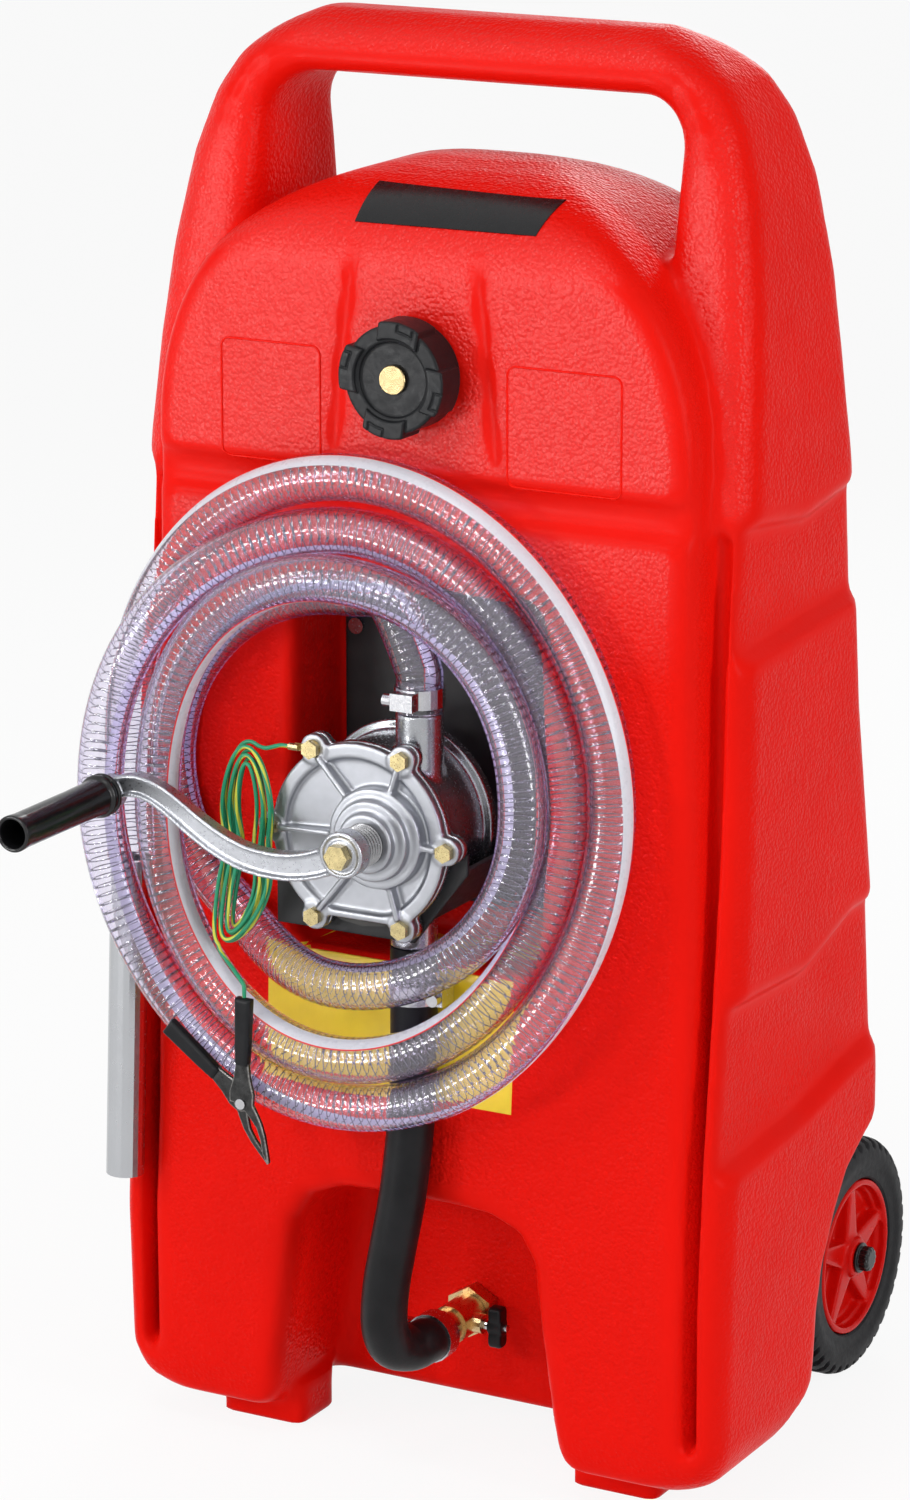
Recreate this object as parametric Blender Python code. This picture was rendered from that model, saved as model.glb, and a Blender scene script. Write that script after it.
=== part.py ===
"""Rolling fuel caddy with a hand-cranked rotary pump.

A blow-moulded red tank stands on two front feet and two rear wheels. A rotary
pump sits in a recess of the front panel, draws through a black hose from the
valve at the bottom, and feeds a coiled clear hose that ends in a metal spout.
Metres, +Z up, the front faces -Y, and X = 0 is the tank's middle plane.
"""

import math

import bmesh
import bpy
import numpy as np
from mathutils import Vector

# Fits shared by all pieces
GAP = 0.0003
OVERRUN = 0.02
SMOOTH_ANGLE = math.radians(35)

# Tank, driving sizes
HEIGHT = 0.954
HALF_WIDTH = 0.2265
FLANK_FRONT_Y = -0.201
FLANK_DEPTH = 0.258
WALL = 0.005
FLANK_CORNER_RADIUS = 0.024
BODY_HALF_WIDTH = 0.2035
BODY_FACE_Y = -0.191
BODY_TOE_Y = -0.197
BODY_CORNER_RADIUS = 0.018
BODY_BURIED = 0.004
ARCH_SPRING_Z = 0.68
ARCH_RISE = 0.186
ARCH_POWER = 2.3
DOME_ROUND_DEPTH = 0.115
DOME_ROUND_HEIGHT = 0.066
DOME_BACK_DEPTH = 0.052

# Tank, openings and recesses
HANDLE_GAP_HALF_WIDTH = 0.15
HANDLE_GAP_TOP_Z = 0.914
HANDLE_GAP_BOTTOM_Z = 0.79
HANDLE_GAP_RADIUS = 0.032
RECESS_HALF_WIDTH = 0.0905
RECESS_DROP = 0.0938
RECESS_RISE = 0.1532
RECESS_BACK_Y = -0.123
FOOTWELL_HALF_WIDTH = 0.118
FOOTWELL_TOP_Z = 0.1905
FOOTWELL_BACK_Y = -0.105
BAND_DEPTH = 0.009
GROOVE_WIDTH = 0.012
GROOVE_DEPTH = 0.016
GROOVE_TOP_Z = 0.655
GROOVE_BOTTOM_Z = 0.05
SEAM_TOP_Z = 0.672
SEAM_HEIGHT = 0.018
SEAM_DEPTH = 0.006
FOOT_INNER_X = 0.103
FOOT_OUTER_X = 0.166
FOOT_FRONT_Y = -0.166
FOOT_BACK_Y = -0.118
FOOT_HEIGHT = 0.026

# Filler neck and cap
NECK_Z = 0.7414
NECK_RADIUS = 0.026
NECK_BORE_RADIUS = 0.0205
NECK_LENGTH = 0.018
CAP_RADIUS = 0.0345
CAP_LUG_RADIUS = 0.0375
CAP_DEPTH = 0.030
CAP_CEILING = 0.0036
CAP_BORE_CLEARANCE = 0.0025
CAP_DISH_RADIUS = 0.024
CAP_LUGS = 4
GASKET_THICKNESS = 0.0025
VENT_HEAD_RADIUS = 0.0095
VENT_HEAD_HEIGHT = 0.003
VENT_STEM_RADIUS = 0.003

# Wheels
AXLE_BEHIND = 0.053
TYRE_RADIUS = 0.0836
TYRE_WIDTH = 0.042
RIM_RADIUS = 0.0545
RIM_BAND = 0.0045
RIM_SPOKES = 5
RIM_SPOKE_WIDTH = 0.016
RIM_SPOKE_DEPTH = 0.010
HUB_RADIUS = 0.0135
WHEEL_FACE_X = 0.185
AXLE_RADIUS = 0.006
AXLE_CLEARANCE = 0.0003
CARRIER_HALF_WIDTH = 0.118
CARRIER_BEHIND_AXLE = 0.026
CARRIER_BOTTOM_Z = 0.034
CARRIER_TOP_Z = 0.135
WELL_INNER_X = 0.124
AXLE_CAP_RADIUS = 0.011
AXLE_CAP_LENGTH = 0.010
AXLE_CAP_FACE = 0.002

# Pump
PUMP_X = -0.0144
PUMP_Z = 0.4468
BOLT_CIRCLE_RADIUS = 0.0643
BOLT_COUNT = 6
COVER_FACE_Y = -0.240
COVER_THICKNESS = 0.006
COVER_GASKET_THICKNESS = 0.0008
FLANGE_RADIUS = 0.0625
FLANGE_THICKNESS = 0.006
LUG_RADIUS = 0.0092
HOUSING_DEPTH = 0.059
HOUSING_RADIUS = 0.058
HOUSING_RIM_RADIUS = 0.0635
HOUSING_RIM_WIDTH = 0.009
CHAMBER_RADIUS = 0.050
HOUSING_WALL = 0.005
SHAFT_OFFSET_X = 0.0159
SHAFT_OFFSET_Z = 0.0035
SHAFT_RADIUS = 0.007
ROTOR_RUNNING_GAP = 0.0008
VANE_THICKNESS = 0.004
VANE_HEIGHT = 0.014
BOSS_RADII = (0.033, 0.0265, 0.0195)
BOSS_STEP = 0.0065
RIB_WIDTH = 0.0045
RIB_HEIGHT = 0.004
SEAL_RADIUS = 0.0117
SEAL_LENGTH = 0.009
SLEEVE_RADIUS = 0.014
SLEEVE_LENGTH = 0.0125
SPIGOT_RADIUS = 0.0155
SPIGOT_NECK_RADIUS = 0.0117
SPIGOT_BORE_RADIUS = 0.0098
OUTLET_OFFSET_X = 0.0285
OUTLET_RISE = 0.0807
INLET_OFFSET_X = 0.024
INLET_COLLAR_DROP = 0.0748
INLET_END_DROP = 0.1158
BOLT_SHANK_RADIUS = 0.003
BOLT_HEAD_RADIUS = 0.0062
BOLT_HEAD_HEIGHT = 0.0042

# Pump bracket
BRACKET_THICKNESS = 0.003
BRACKET_LEFT_X = -0.082
BRACKET_RIGHT_X = 0.0585
BRACKET_CORNER_X = 0.0196
BRACKET_TOP_RISE = 0.0102
BRACKET_SHOULDER_DROP = 0.0138
BRACKET_BOTTOM_DROP = 0.0683
PLATE_HALF_WIDTH = 0.0875
PLATE_TOP_RISE = 0.1452
PLATE_SCREW_X = 0.0785
PLATE_SCREW_LOW_X = 0.068
PLATE_SCREW_TOP_RISE = 0.1084
PLATE_SCREW_BOTTOM_DROP = 0.0418
PLATE_SCREW_RADIUS = 0.0025
PLATE_SCREW_HEAD_RADIUS = 0.0055
PLATE_SCREW_HEAD_HEIGHT = 0.0025
PLATE_SCREW_LENGTH = 0.006

# Crank
CRANK_HUB_RADIUS = 0.0165
CRANK_HUB_LENGTH = 0.0165
CRANK_ARM_DEPTH = 0.011
CRANK_WEB_SHARE = 0.7
CRANK_RIM_WIDTH = 0.0025
CRANK_HUB_HALF_HEIGHT = 0.0095
CRANK_END_HALF_HEIGHT = 0.0065
CRANK_LENGTH = 0.1758
CRANK_EYE_RADIUS = 0.0115
GRIP_RADIUS = 0.0118
GRIP_COLLAR_RADIUS = 0.0142
GRIP_LENGTH = 0.107
GRIP_WALL = 0.0025
GRIP_BASE_LENGTH = 0.010
GRIP_PIN_RADIUS = 0.005
GRIP_PIN_HEAD_RADIUS = 0.008
GRIP_PIN_HEAD_HEIGHT = 0.004
CRANK_BOLT_RADIUS = 0.0085
CRANK_BOLT_HEAD = 0.0062
CRANK_BOLT_SHANK_LENGTH = 0.010

# Suction line and valve
SUCTION_RADIUS = 0.0155
SUCTION_BORE_RADIUS = 0.0126
VALVE_Z = 0.086
VALVE_BODY_RADIUS = 0.0135
VALVE_BODY_LENGTH = 0.044
VALVE_BARB_LENGTH = 0.017
VALVE_BORE_RADIUS = 0.006
OUTLET_THREAD_RADIUS = 0.0095
OUTLET_HEX_RADIUS = 0.018
OUTLET_HEX_LENGTH = 0.012
OUTLET_THREAD_LENGTH = 0.011
BALL_RADIUS = 0.0095
STEM_RADIUS = 0.0035
BONNET_RADIUS = 0.0068
BONNET_REACH = 0.0195
TEE_LENGTH = 0.029
TEE_WIDTH = 0.011
TEE_THICKNESS = 0.011
TEE_STANDOFF = 0.0235
TEE_SCREW_RADIUS = 0.0025

# Hose clamps
CLAMP_BAND_WIDTH = 0.0125
CLAMP_BAND_THICKNESS = 0.0010
CLAMP_BLOCK_LENGTH = 0.016
CLAMP_BLOCK_HEIGHT = 0.0085
CLAMP_SCREW_RADIUS = 0.0026
CLAMP_SCREW_HEAD_RADIUS = 0.0042
CLAMP_SCREW_HEAD_LENGTH = 0.006
CLAMP_INLET_DROP = 0.0315
CLAMP_OUTLET_RISE = 0.0105
CLAMP_VALVE_Y = -0.1662

# Delivery hose and spout
DELIVERY_RADIUS = 0.01525
DELIVERY_STANDOFF = 0.0006
LAYER_CLEARANCE = 0.0007
COIL_CENTRE_X = -0.036
COIL_CENTRE_Z = 0.470
COIL_PITCH = 0.0312
COIL_FIRST_TURN = 0.25
COIL_LAST_TURN = 3.5
COIL_POINTS_PER_TURN = 24
# Distance from the coil's middle at each quarter turn, in coil pitches
COIL_REACH_SHARES = (
    4.12, 4.369, 3.893, 4.523, 4.657, 4.105, 5.479, 4.984,
    5.396, 5.366, 6.532, 6.024, 6.52, 5.45,
)
# Layer at each eighth turn, from 0 against the panel to 1 one hose further out
COIL_LAYER_SHARES = (
    0.0, 0.0, 0.0, 0.0, 1.15, 1.15, 1.12, 0.887, 1.115, 1.074, 1.0, 1.05, 1.248,
    0.901, 0.0, 0.0, 0.0, 0.97, 1.24, 1.099, 1.172, 0.95, 0.1, 0.0, 0.0, 0.0, 0.0,
)
SPOUT_TOP_Z = 0.400
SPOUT_BOTTOM_Z = 0.1806
SPOUT_RADIUS = 0.0128
SPOUT_LEAN = 0.0035
SPOUT_WALL = 0.0015

# Earth wire and clip
WIRE_RADIUS = 0.0014
HANK_X = -0.0890
HANK_Y = -0.2470
HANK_Z = 0.4338
HANK_HALF_HEIGHT = 0.0545
HANK_HALF_WIDTH = 0.0075
HANK_START = math.radians(15)
HANK_LOOPS = 5.514
HANK_LOOP_STEP = 0.0055
HANK_FLARE = 0.012
HANK_POINTS_PER_TURN = 16
HANK_LAYER_STEP = 0.0042
HANK_WAIST_SHARE = 0.55
HANK_WAIST_SPAN = 0.02
LUG_RING_RADIUS = 0.006
LUG_PLATE = 0.0008
LUG_TAB_LENGTH = 0.0065
LUG_TAB_HALF_WIDTH = 0.0024
LUG_BARREL_LENGTH = 0.007
LUG_BARREL_RADIUS = 0.0024
CLIP_PIVOT_X = -0.0866
CLIP_PIVOT_Z = 0.2651
CLIP_FRONT_Y = -0.2673
CLIP_PLATE = 0.0034
CLIP_HANDLE_LENGTH = 0.072
CLIP_JAW_LENGTH = 0.043
CLIP_SLEEVE_THICKNESS = 0.0078
CLIP_SLEEVE_WIDTH = 0.0125
CLIP_PIVOT_RADIUS = 0.0022
CLIP_PIVOT_HEAD_RADIUS = 0.0036
CLIP_PIVOT_HEAD = 0.001
CLIP_HANDLE_ANGLES = (math.radians(88), math.radians(143))
CLIP_JAW_ANGLE = math.radians(295.5)
# Each half of the clip: shares of its length along, and half widths as shares of it
CLIP_HANDLE_SHARES = ((1.0, 0.040), (0.96, 0.060), (0.35, 0.062), (0.10, 0.066), (0.0, 0.070))
CLIP_JAW_SHARES = ((0.0, 0.115), (0.30, 0.120), (0.75, 0.095), (1.0, 0.055))

# Places worked out from the sizes above
SHAFT_X = PUMP_X + SHAFT_OFFSET_X
SHAFT_Z = PUMP_Z + SHAFT_OFFSET_Z
RECESS_BOTTOM_Z = PUMP_Z - RECESS_DROP
RECESS_TOP_Z = PUMP_Z + RECESS_RISE
OUTLET_TOP_Z = PUMP_Z + OUTLET_RISE
INLET_COLLAR_Z = PUMP_Z - INLET_COLLAR_DROP
INLET_END_Z = PUMP_Z - INLET_END_DROP
BRACKET_TOP_Z = PUMP_Z + BRACKET_TOP_RISE
BRACKET_SHOULDER_Z = PUMP_Z - BRACKET_SHOULDER_DROP
BRACKET_BOTTOM_Z = PUMP_Z - BRACKET_BOTTOM_DROP
PLATE_TOP_Z = PUMP_Z + PLATE_TOP_RISE
PLATE_SCREW_TOP_Z = PUMP_Z + PLATE_SCREW_TOP_RISE
PLATE_SCREW_BOTTOM_Z = PUMP_Z - PLATE_SCREW_BOTTOM_DROP
CLAMP_INLET_Z = INLET_COLLAR_Z - CLAMP_INLET_DROP
CLAMP_OUTLET_Z = OUTLET_TOP_Z + CLAMP_OUTLET_RISE
AXLE_Y = FLANK_FRONT_Y + FLANK_DEPTH + AXLE_BEHIND
AXLE_Z = TYRE_RADIUS
CARRIER_BACK_Y = AXLE_Y + CARRIER_BEHIND_AXLE
COVER_BACK_Y = COVER_FACE_Y + COVER_THICKNESS
HOUSING_FRONT_Y = COVER_BACK_Y + COVER_GASKET_THICKNESS + 2 * GAP
FLANGE_BACK_Y = HOUSING_FRONT_Y + FLANGE_THICKNESS
HOUSING_BACK_Y = COVER_FACE_Y + HOUSING_DEPTH
BRACKET_FRONT_Y = FLANGE_BACK_Y + GAP
BRACKET_BACK_Y = BRACKET_FRONT_Y + BRACKET_THICKNESS
BOSS_FRONT_Y = COVER_FACE_Y - 3 * BOSS_STEP
SLEEVE_FRONT_Y = BOSS_FRONT_Y - GAP - SLEEVE_LENGTH
CRANK_BACK_Y = SLEEVE_FRONT_Y - GAP
CRANK_FRONT_Y = CRANK_BACK_Y - CRANK_HUB_LENGTH
ARM_FRONT_Y = CRANK_FRONT_Y + (CRANK_HUB_LENGTH - CRANK_ARM_DEPTH) / 3
ARM_BACK_Y = ARM_FRONT_Y + CRANK_ARM_DEPTH
GRIP_FRONT_Y = ARM_FRONT_Y - GAP - GRIP_LENGTH
GROUND_SHIFT_Y = -(GRIP_FRONT_Y + AXLE_Y + TYRE_RADIUS) / 2
HOSE_BACK_Y = BODY_FACE_Y - DELIVERY_STANDOFF - DELIVERY_RADIUS
HOSE_LAYER_STEP = 2 * DELIVERY_RADIUS + LAYER_CLEARANCE
SPIGOT_Y = BODY_FACE_Y - SUCTION_RADIUS - GAP - 2 * CLAMP_BAND_THICKNESS
OUTLET_X = PUMP_X + OUTLET_OFFSET_X
INLET_X = PUMP_X + INLET_OFFSET_X
NECK_CENTRE = (0, BODY_FACE_Y, NECK_Z)
CAP_BACK_Y = BODY_FACE_Y - GAP
CAP_FRONT_Y = CAP_BACK_Y - CAP_DEPTH
NECK_FRONT_Y = BODY_FACE_Y - NECK_LENGTH
CAP_INNER_Y = NECK_FRONT_Y - GASKET_THICKNESS - 2 * GAP
CAP_DISH_Y = CAP_INNER_Y - CAP_CEILING


def clear_scene():
    """Remove whatever the file holds already."""
    for obj in list(bpy.data.objects):
        bpy.data.objects.remove(obj, do_unlink=True)


def make_material(name, colour, roughness, metallic=0.0, alpha=1.0):
    """Principled material with the colour, gloss and metal of a real part."""
    material = bpy.data.materials.new(name)
    material.use_nodes = True
    shader = material.node_tree.nodes["Principled BSDF"]
    shader.inputs["Base Color"].default_value = (*colour, 1.0)
    shader.inputs["Roughness"].default_value = roughness
    shader.inputs["Metallic"].default_value = metallic
    shader.inputs["Alpha"].default_value = alpha
    material.diffuse_color = (*colour, alpha)
    return material


# Meshes

def mesh_object(name, verts, faces, material=None, pivot=(0, 0, 0)):
    """Closed mesh with its origin on pivot and its faces pointing out."""
    mesh = bpy.data.meshes.new(name)
    bm = bmesh.new()
    made = [bm.verts.new(Vector(v) - Vector(pivot)) for v in verts]
    for face in faces:
        bm.faces.new([made[i] for i in face])
    bmesh.ops.recalc_face_normals(bm, faces=bm.faces)
    bm.to_mesh(mesh)
    bm.free()
    if material:
        mesh.materials.append(material)
    mesh.shade_smooth()
    mesh.set_sharp_from_angle(angle=SMOOTH_ANGLE)
    obj = bpy.data.objects.new(name, mesh)
    bpy.context.scene.collection.objects.link(obj)
    obj.parent = ORIGIN
    obj.location = pivot
    return obj


def ring_faces(rings, count, closed_rings=False):
    """Quads between neighbouring rings of count points each."""
    faces = []
    last = rings if closed_rings else rings - 1
    for i in range(last):
        a = i * count
        b = ((i + 1) % rings) * count
        for j in range(count):
            k = (j + 1) % count
            faces.append((a + j, a + k, b + k, b + j))
    return faces


def loft(name, rings, material=None):
    """Solid through a stack of point rings, closed by a flat face at both ends."""
    count = len(rings[0])
    verts = [tuple(p) for ring in rings for p in ring]
    faces = ring_faces(len(rings), count)
    faces.append(tuple(range(count))[::-1])
    faces.append(tuple(range((len(rings) - 1) * count, len(rings) * count)))
    return mesh_object(name, verts, faces, material)


def rounded_ring(half_width, front, back, radius, z, steps=2):
    """Ring at height z: a rectangle, symmetric in X, with rounded corners."""
    radius = min(radius, (back - front) * 0.48, half_width * 0.9)
    centres = (
        (half_width - radius, front + radius, -math.pi / 2),
        (half_width - radius, back - radius, 0.0),
        (-half_width + radius, back - radius, math.pi / 2),
        (-half_width + radius, front + radius, math.pi),
    )
    points = []
    for cx, cy, start in centres:
        for i in range(steps + 1):
            angle = start + math.pi / 2 * i / steps
            points.append((cx + radius * math.cos(angle), cy + radius * math.sin(angle), z))
    return points


def place(u, v, w, axis):
    """Point from an outline's u, v and its height w along the named axis."""
    return {"x": (w, u, v), "y": (u, w, v), "z": (u, v, w)}[axis]


def prism(name, outline, axis, low, high, material=None, pivot=(0, 0, 0)):
    """Outline drawn across the axis, run from low to high along it."""
    count = len(outline)
    verts = [place(u, v, w, axis) for w in (low, high) for u, v in outline]
    faces = ring_faces(2, count)
    faces.append(tuple(range(count)))
    faces.append(tuple(range(count, 2 * count)))
    return mesh_object(name, verts, faces, material, pivot)


def box(name, low, high, material=None):
    """Plain block between two corners."""
    outline = [(low[0], low[1]), (high[0], low[1]), (high[0], high[1]), (low[0], high[1])]
    return prism(name, outline, "z", low[2], high[2], material)


def turned(name, profile, axis, centre, sides, material=None, closed=False, phase=0.0):
    """Profile of (radius, height) turned about an axis through centre."""
    verts, rings = [], []
    for radius, height in profile:
        start = len(verts)
        if radius == 0:
            verts.append(axis_point(0, 0, height, axis, centre))
            rings.append([start] * sides)
            continue
        for j in range(sides):
            angle = phase + 2 * math.pi * j / sides
            u = radius * math.cos(angle)
            v = radius * math.sin(angle)
            verts.append(axis_point(u, v, height, axis, centre))
        rings.append(list(range(start, start + sides)))
    faces = []
    pairs = len(rings) if closed else len(rings) - 1
    for i in range(pairs):
        low, high = rings[i], rings[(i + 1) % len(rings)]
        for j in range(sides):
            k = (j + 1) % sides
            quad = [low[j], low[k], high[k], high[j]]
            faces.append(tuple(dict.fromkeys(quad)))
    return mesh_object(name, verts, faces, material, centre)


def axis_point(u, v, w, axis, centre):
    """Point at u, v across and w along the named axis, from centre."""
    offset = {"x": (w, u, v), "y": (u, w, v), "z": (u, v, w)}[axis]
    return tuple(c + o for c, o in zip(centre, offset))


def cylinder(name, axis, centre, radius, low, high, sides=24, material=None, phase=0.0):
    """Solid round bar along an axis through centre, from low to high along it."""
    profile = [(0, low), (radius, low), (radius, high), (0, high)]
    return turned(name, profile, axis, centre, sides, material, phase=phase)


def tube(name, axis, centre, outer, inner, low, high, sides=24, material=None):
    """Round ring with a bore."""
    profile = [(inner, low), (outer, low), (outer, high), (inner, high)]
    return turned(name, profile, axis, centre, sides, material, closed=True)


def frames_along(points):
    """Unit tangents and two steady cross directions along a path."""
    tangents = np.gradient(points, axis=0)
    tangents /= np.linalg.norm(tangents, axis=1)[:, None]
    side = np.cross(tangents[0], (0.0, 0.0, 1.0))
    if np.linalg.norm(side) < 0.1:
        side = np.array((1.0, 0.0, 0.0))
    sides = []
    for tangent in tangents:
        side = side - tangent * side.dot(tangent)
        side = side / np.linalg.norm(side)
        sides.append(side)
    sides = np.array(sides)
    return tangents, sides, np.cross(tangents, sides)


def swept_pipe(name, points, outer, inner, sides, material):
    """Pipe with a through bore along a path."""
    _, across, up = frames_along(points)
    angles = 2 * np.pi * np.arange(sides) / sides
    circle = (np.cos(angles)[:, None, None] * across + np.sin(angles)[:, None, None] * up)
    circle = circle.transpose(1, 0, 2)
    outside = points[:, None] + outer * circle
    inside = points[:, None] + inner * circle
    loops = np.concatenate((outside, inside[::-1])).reshape(-1, 3)
    faces = ring_faces(2 * len(points), sides, closed_rings=True)
    return mesh_object(name, [tuple(p) for p in loops], faces, material)


def smooth_path(points, per_stretch):
    """Catmull-Rom curve through hand-set points, read per_stretch times between two."""
    points = np.array(points, dtype=float)
    padded = np.vstack((2 * points[0] - points[1], points, 2 * points[-1] - points[-2]))
    path = []
    for i in range(len(points) - 1):
        a, b, c, d = padded[i:i + 4]
        for step in range(per_stretch):
            f = step / per_stretch
            path.append(0.5 * (2 * b + f * (c - a) + f * f * (2 * a - 5 * b + 4 * c - d)
                               + f ** 3 * (3 * b - a - 3 * c + d)))
    path.append(points[-1])
    return np.array(path)


def cord_path(points, per_stretch):
    """Smooth path whose first and last stretches stay straight."""
    middle = smooth_path(points, per_stretch)[per_stretch:-per_stretch]
    return np.vstack((points[0], middle, points[-1]))


def cord_curve(name, points, radius, resolution, material):
    """Round cord along a path, with closed ends."""
    curve = bpy.data.curves.new(name, "CURVE")
    curve.dimensions = "3D"
    curve.bevel_depth = radius
    curve.bevel_resolution = resolution
    curve.use_fill_caps = True
    spline = curve.splines.new("POLY")
    spline.points.add(len(points) - 1)
    for knot, point in zip(spline.points, points):
        knot.co = (*point, 1.0)
    curve.materials.append(material)
    obj = bpy.data.objects.new(name, curve)
    bpy.context.scene.collection.objects.link(obj)
    obj.parent = ORIGIN
    return obj


def guide(obj):
    """Mark an object as a helper that shapes others and isn't a piece."""
    obj.hide_render = True
    obj.display_type = "WIRE"
    return obj


def combine(obj, other, operation):
    """Cut other out of obj, or join it on, with an exact Boolean."""
    guide(other)
    modifier = obj.modifiers.new(other.name, "BOOLEAN")
    modifier.operation = operation
    modifier.object = other
    modifier.solver = "EXACT"
    return obj


def cut(obj, *others):
    """Take each of the others out of obj."""
    for other in others:
        combine(obj, other, "DIFFERENCE")
    return obj


def join(obj, *others):
    """Fuse each of the others onto obj."""
    for other in others:
        combine(obj, other, "UNION")
    return obj


# Tank

# Height, half width, front and back of the flanks at each level
FLANK_SHARES = (
    (0.019, 0.883, 0.070, 0.934),
    (0.031, 0.956, 0.020, 0.977),
    (0.052, 0.991, 0.002, 0.996),
    (0.157, 1.000, 0.000, 1.000),
    (0.262, 0.999, 0.023, 1.000),
    (0.388, 0.996, 0.070, 0.952),
    (0.472, 0.991, 0.097, 0.903),
    (0.533, 0.989, 0.105, 0.864),
    (0.613, 0.985, 0.110, 0.839),
    (0.708, 0.978, 0.140, 0.809),
    (0.776, 0.962, 0.174, 0.775),
    (0.839, 0.938, 0.209, 0.756),
    (0.901, 0.896, 0.252, 0.729),
    (0.943, 0.839, 0.283, 0.702),
    (0.970, 0.768, 0.310, 0.671),
    (0.987, 0.675, 0.349, 0.620),
    (0.997, 0.596, 0.399, 0.562),
    (1.000, 0.530, 0.446, 0.516),
)
# Height as a share of the arch's spring line, half width as a share of the body's
BODY_SHARES = (
    (0.034, 0.930), (0.053, 0.983), (0.090, 0.995), (0.220, 1.000), (0.300, 0.997),
    (0.345, 0.995), (0.530, 0.983), (0.800, 0.966), (0.940, 0.961), (1.000, 0.961),
)
ARCH_SHARES = (0.2, 0.38, 0.54, 0.66, 0.76, 0.85, 0.92, 0.965, 0.992)
# Rear edge of each wheel well, as back and height from the axle in tyre radii
WELL_SHARES = (
    (1.60, 1.62), (-0.60, 1.62), (-0.80, 1.53), (-1.00, 1.44), (-1.33, 1.25),
    (-1.55, 0.97), (-1.74, 0.62), (-1.82, 0.24), (-1.84, -0.17), (-1.87, -0.34),
    (-1.98, -0.47), (-2.12, -0.58), (-2.40, -0.80), (-2.60, -1.40), (1.60, -1.40),
)
# Half of the footwell's outline, across and up
FOOTWELL_SHARES = (
    (1.000, -0.06), (0.900, 0.20), (0.800, 0.62), (0.755, 0.85), (0.660, 0.945),
    (0.480, 0.99), (0.250, 1.00),
)
# Upper and lower edge heights of the two side bands, at five places front to back
BAND_PLACE_SHARES = (-0.1, 0.08, 0.5, 0.78, 1.1)
BAND_EDGE_SHARES = (
    ((0.694, 0.694, 0.681, 0.692, 0.696), (0.594, 0.597, 0.606, 0.610, 0.612)),
    ((0.370, 0.370, 0.366, 0.388, 0.393), (0.247, 0.252, 0.262, 0.276, 0.286)),
)


def body_front(z):
    """Front of the central body: toe, flat face, then a quarter ellipse over the dome."""
    shoulder = ARCH_SPRING_Z + ARCH_RISE - DOME_ROUND_HEIGHT
    if z > shoulder:
        rise = min(1.0, (z - shoulder) / DOME_ROUND_HEIGHT)
        return BODY_FACE_Y + DOME_ROUND_DEPTH * (1 - math.sqrt(1 - rise * rise))
    toe = min(1.0, max(0.0, (ARCH_SPRING_Z * 0.33 - z) / (ARCH_SPRING_Z * 0.1)))
    return BODY_FACE_Y + (BODY_TOE_Y - BODY_FACE_Y) * toe


def flank_back(z):
    """Back of the flanks at height z, between its set levels."""
    heights = [share[0] * HEIGHT for share in FLANK_SHARES]
    backs = [FLANK_FRONT_Y + share[3] * FLANK_DEPTH for share in FLANK_SHARES]
    return float(np.interp(z, heights, backs))


def body_back(z):
    """Back of the central body: just inside the flanks' back, rounded over the dome."""
    shoulder = ARCH_SPRING_Z + ARCH_RISE - DOME_ROUND_HEIGHT
    back = flank_back(min(z, shoulder)) - BODY_BURIED
    if z > shoulder:
        rise = min(1.0, (z - shoulder) / DOME_ROUND_HEIGHT)
        back -= DOME_BACK_DEPTH * (1 - math.sqrt(1 - rise * rise))
    return back


def flank_shell(name, inset, top_share, material=None, every=1):
    """Full-width outer form of the tank with its handle loop, drawn in by inset."""
    rings = []
    levels = [share for share in FLANK_SHARES if share[0] <= top_share][::every]
    for i, (z, width, front, back) in enumerate(levels):
        height = z * HEIGHT + (inset if i == 0 else 0.0)
        rings.append(rounded_ring(
            HALF_WIDTH * width - inset,
            FLANK_FRONT_Y + front * FLANK_DEPTH + inset,
            FLANK_FRONT_Y + back * FLANK_DEPTH - inset,
            FLANK_CORNER_RADIUS, height))
    return loft(name, rings, material)


def body_shell(name, inset, every=1):
    """Central body that stands proud of the flanks and ends in an arched dome."""
    levels = [(z * ARCH_SPRING_Z, width * BODY_HALF_WIDTH) for z, width in BODY_SHARES]
    spring_width = levels[-1][1]
    for share in ARCH_SHARES:
        width = spring_width * (1 - share ** ARCH_POWER) ** (1 / ARCH_POWER)
        levels.append((ARCH_SPRING_Z + ARCH_RISE * share, width))
    scale_top = (levels[-1][0] - inset) / levels[-1][0]
    rings = []
    for i, (z, width) in enumerate(levels):
        height = z * scale_top + (inset if i == 0 else 0.0)
        front = body_front(z) + inset
        back = body_back(z) - inset
        if width - inset < inset or back - front < inset:
            continue
        rings.append(rounded_ring(width - inset, front, back, BODY_CORNER_RADIUS, height))
    return loft(name, rings[::every])


def handle_gap():
    """Hand gap: a rounded outline run through the loop from front to back."""
    outline = []
    for sign_x, sign_z, start in ((1, 1, 0), (-1, 1, 90), (-1, -1, 180), (1, -1, 270)):
        middle_z = HANDLE_GAP_TOP_Z if sign_z > 0 else HANDLE_GAP_BOTTOM_Z
        for step in range(5):
            angle = math.radians(start + 90 * step / 4)
            outline.append((
                sign_x * (HANDLE_GAP_HALF_WIDTH - HANDLE_GAP_RADIUS)
                + HANDLE_GAP_RADIUS * math.cos(angle),
                middle_z - sign_z * HANDLE_GAP_RADIUS + HANDLE_GAP_RADIUS * math.sin(angle)))
    front = FLANK_FRONT_Y - OVERRUN
    back = FLANK_FRONT_Y + FLANK_DEPTH + OVERRUN
    return prism("guide_handle_gap", outline, "y", front, back)


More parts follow.
